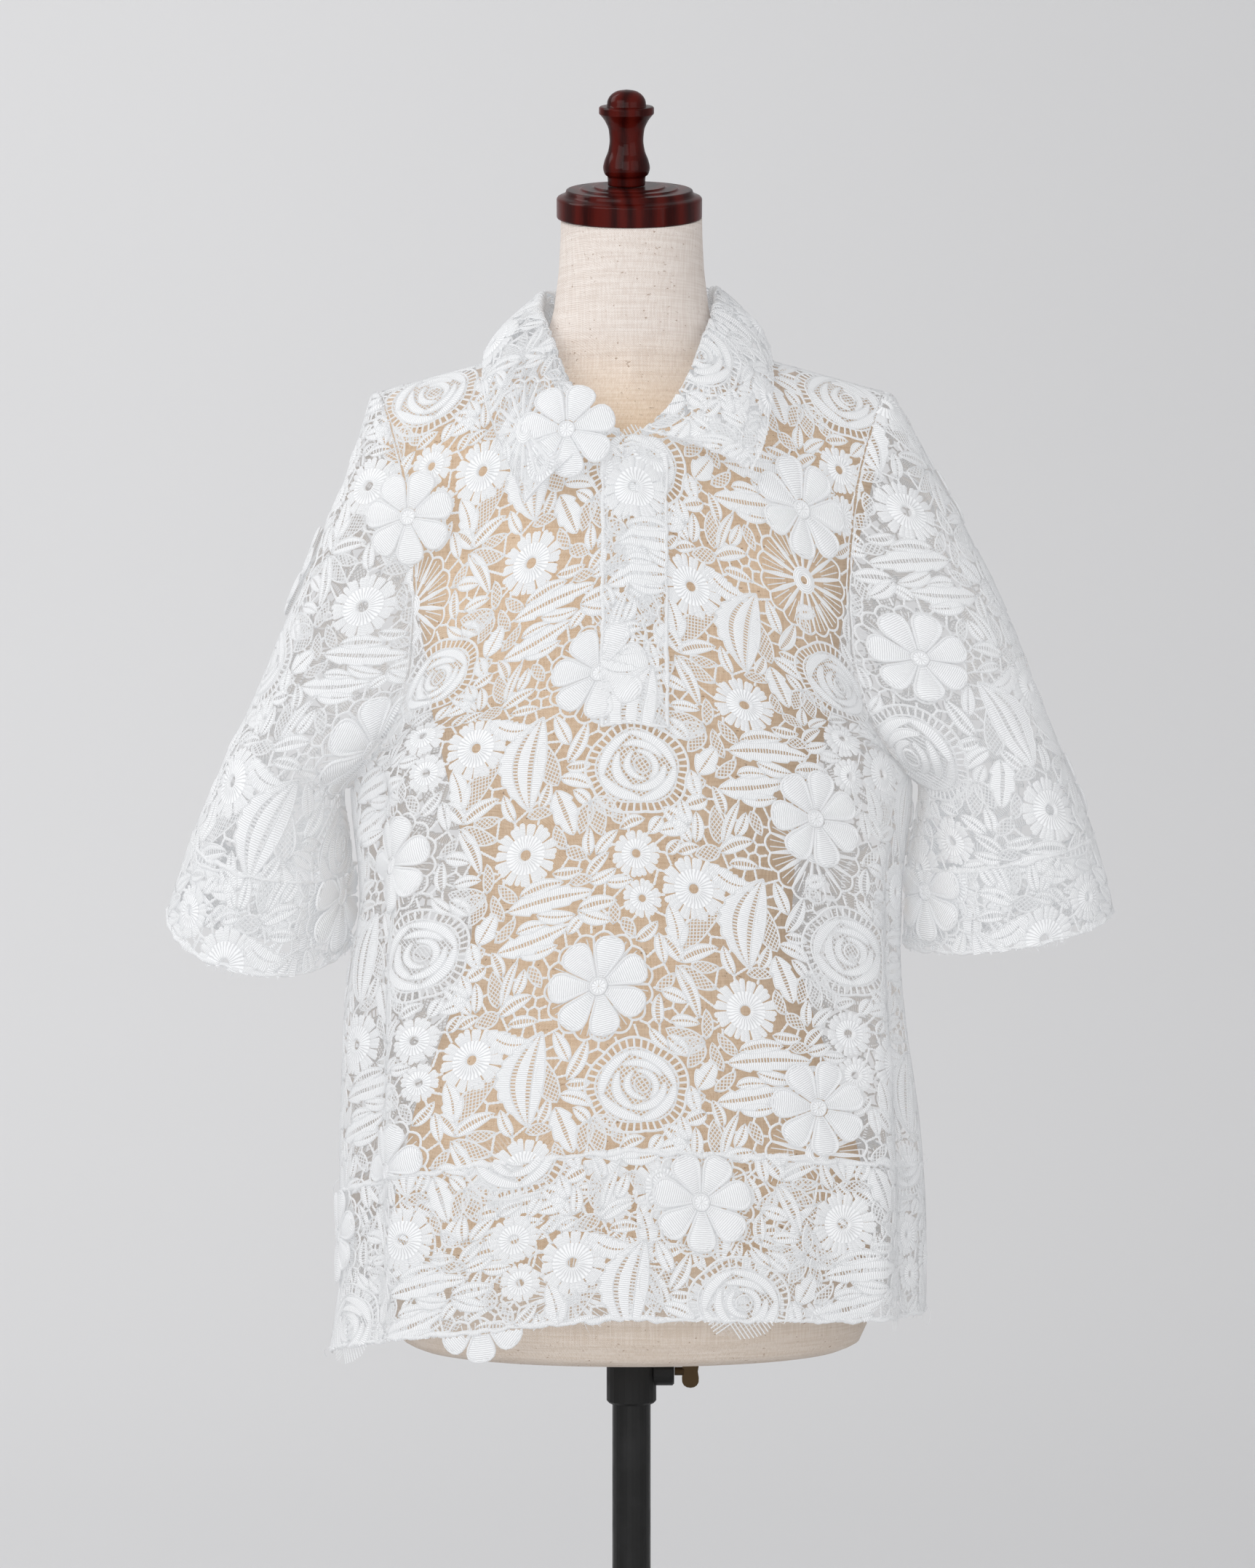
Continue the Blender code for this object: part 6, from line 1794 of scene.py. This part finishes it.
# %% Turned wood
grain, given, given_out = group(
    "turned wood",
    [("Place", "Vector", None), ("Ring Size", "Float", 60.0), ("Streaks", "Float", 0.5)],
    [("Grain", "Float"), ("Height", "Float")])
long_way = stretched(grain, given["Place"], 1.0, 1.0, 0.12)
bands = node(grain, "TexWave", {"Vector": long_way, "Scale": given["Ring Size"], "Distortion": 6.0,
                                "Detail": 3.0})[1]
streaks = noise(grain, stretched(grain, given["Place"], 900, 900, 60), 1.0, 3.0)
total = maths(grain, "ADD", bands, maths(grain, "MULTIPLY", streaks, given["Streaks"]))
feed(grain, given_out, {"Grain": scaled(grain, total, 0.1, 1.3, 0.0, 1.0),
                                          "Height": noise(grain, given["Place"], 40.0)})
print("group", grain.name)

# %% [markdown]
# The stain is nearly black in the troughs and dark red between them. The lacquer's mirror is kept weak, because
# the room around the form is white and would wash the red out.

# %% Red lacquer
lacquer, tree, shader = finish_of("mahogany lacquer", (0.06, 0.004, 0.003), 0.3,
                                  **{"Specular IOR Level": 0.04, "Coat Weight": 0.16, "Coat Roughness": 0.06})
place = placed(tree)
made = effect(tree, grain, {"Place": place, "Ring Size": 22.0, "Streaks": 0.7})
feed(tree, shader, {"Base Color": mixed(tree, made["Grain"], (0.010, 0.0006, 0.0006, 1), (0.070, 0.005, 0.003, 1))})
bumped(tree, shader, made["Height"], 0.08, 0.0006)
for piece in (cap, finial):
    piece.data.materials.append(lacquer)
print("finish", lacquer.name)

# %% [markdown]
# ### Black and bronze parts
# Enamel, moulded plastic and bronzed metal share one effect: fine grain with a little wear, at other sizes.

# %% Fine grain
fine, given, given_out = group(
    "fine grain",
    [("Place", "Vector", None), ("Grain Size", "Float", 1500.0), ("Wear", "Float", 0.3)],
    [("Height", "Float"), ("Worn", "Float")])
dust = noise(fine, given["Place"], 45.0, 5.0)
feed(fine, given_out, {
    "Height": noise(fine, given["Place"], given["Grain Size"], 2.0),
    "Worn": maths(fine, "MULTIPLY", scaled(fine, dust, 0.45, 0.75, 0.0, 1.0), given["Wear"])})
print("group", fine.name)

# %% [markdown]
# The three finishes differ in numbers alone, so one table makes them. They are put on the frame's own solids,
# since these plain turned and moulded pieces already have their true shape.

# %% Black enamel, black plastic, bronze
# Slot, finish, colour, worn colour, roughness, metal, grain size and depth of grain
PLAIN_ROWS = [
    ("steel", "black enamel", (0.006, 0.006, 0.006), (0.020, 0.020, 0.021), 0.36, 0.0, 900.0, 0.12),
    ("clamp_plastic", "black moulded plastic", (0.006, 0.006, 0.006), (0.020, 0.019, 0.018),
     0.5, 0.0, 2600.0, 0.30),
    ("bronze", "dark bronze", (0.060, 0.040, 0.022), (0.030, 0.024, 0.018), 0.4, 1.0, 1800.0, 0.25),
]
for slot_name, name, dark, worn_colour, rough, metal, size, strength in PLAIN_ROWS:
    material, tree, shader = finish_of(name, dark, rough, Metallic=metal, **{"Specular IOR Level": 0.25})
    made = effect(tree, fine, {"Place": placed(tree), "Grain Size": size, "Wear": 0.5})
    feed(tree, shader, {"Base Color": mixed(tree, made["Worn"], (*dark, 1), (*worn_colour, 1)),
                        "Roughness": scaled(tree, made["Worn"], 0.0, 0.5, rough, rough + 0.2)})
    bumped(tree, shader, made["Height"], strength, 0.0002)
    for row in frame["record"]["subparts"]:
        if row["material_slot"] == slot_name:
            solid = frame["nodes"][row["node"]]
            if not solid.material_slots:
                solid.data.materials.append(material)
            for held in solid.material_slots:
                held.material = material
    print("finish", name)

# %% [markdown]
# ## Studio
# The photograph was taken against a pale sweep with soft light from the front left, so the picture falls off
# gently to the lower right. The floor and its curved back are not part of the object. The back has one side
# only, so that whoever walks round the form can look through it from behind.

# %% Paper sweep
SWEEP = np.array([(-6.0, 0.0), (2.4, 0.0), (3.0, 0.06), (3.6, 0.35), (4.0, 0.9), (4.2, 1.8), (4.25, 6.0)])
SWEEP_HALF_WIDE = 7.0
steps = steps_along(SWEEP)
t = np.linspace(0, steps[-1], 60)
profile = np.column_stack([smooth(t, steps, side) for side in SWEEP.T])
points = [(x, y, z) for y, z in profile for x in (-SWEEP_HALF_WIDE, SWEEP_HALF_WIDE)]
faces = [(2 * i, 2 * i + 1, 2 * i + 3, 2 * i + 2) for i in range(len(profile) - 1)]
mesh = bpy.data.meshes.new("studio_sweep")
mesh.from_pydata(points, [], faces)
mesh.polygons.foreach_set("use_smooth", np.ones(len(faces), bool))
floor = bpy.data.objects.new("studio_sweep", mesh)
bpy.context.collection.objects.link(floor)
paper, tree, shader = finish_of("studio paper", (0.715, 0.715, 0.72), 0.95)
soft = noise(tree, placed(tree), 1.2)
seen_through = node(tree, "NewGeometry", {})["Backfacing"]
feed(tree, shader, {"Base Color": mixed(tree, soft, (0.710, 0.710, 0.715, 1), (0.720, 0.720, 0.725, 1)),
                    "Alpha": maths(tree, "SUBTRACT", 1.0, seen_through)})
mesh.materials.append(paper)
print("sweep:", len(faces), "faces, finish", paper.name)

# %% [markdown]
# Four square lamps light it: a key from the front left, a weaker fill from the right, one by the camera that
# opens the folds, and one for the paper behind. An even grey world stands for the white room round them.

# %% Lamps and room
# Name, place, what it points at, size and power
LIGHT_ROWS = [
    ("key", (-2.2, -3.0, 2.4), (0.0, 0.0, 1.15), 2.8, 57.0),
    ("fill", (2.4, -2.8, 1.5), (0.0, 0.0, 1.1), 2.6, 20.0),
    ("front", (-0.3, -4.2, 1.5), (0.0, 0.0, 1.1), 2.4, 31.0),
    ("paper", (-2.0, 0.6, 3.2), (-0.8, 3.6, 1.2), 2.2, 46.0),
]
for name, place, target, size, power in LIGHT_ROWS:
    lamp = bpy.data.lights.new(name, "AREA")
    lamp.shape, lamp.size, lamp.energy = "SQUARE", size, power
    lit = bpy.data.objects.new(name, lamp)
    lit.location = place
    lit.rotation_euler = (Vector(target) - Vector(place)).to_track_quat("-Z", "Y").to_euler()
    bpy.context.collection.objects.link(lit)
world = bpy.data.worlds.new("studio")
world.use_nodes = True
feed(world.node_tree, world.node_tree.nodes["Background"], {"Color": (0.80, 0.80, 0.81, 1), "Strength": 0.72})
bpy.context.scene.world = world
bpy.context.scene.view_settings.view_transform = "Standard"
print("lights:", [row[0] for row in LIGHT_ROWS])

# %% [markdown]
# ## The end

# %% The end
print("end of the scene")
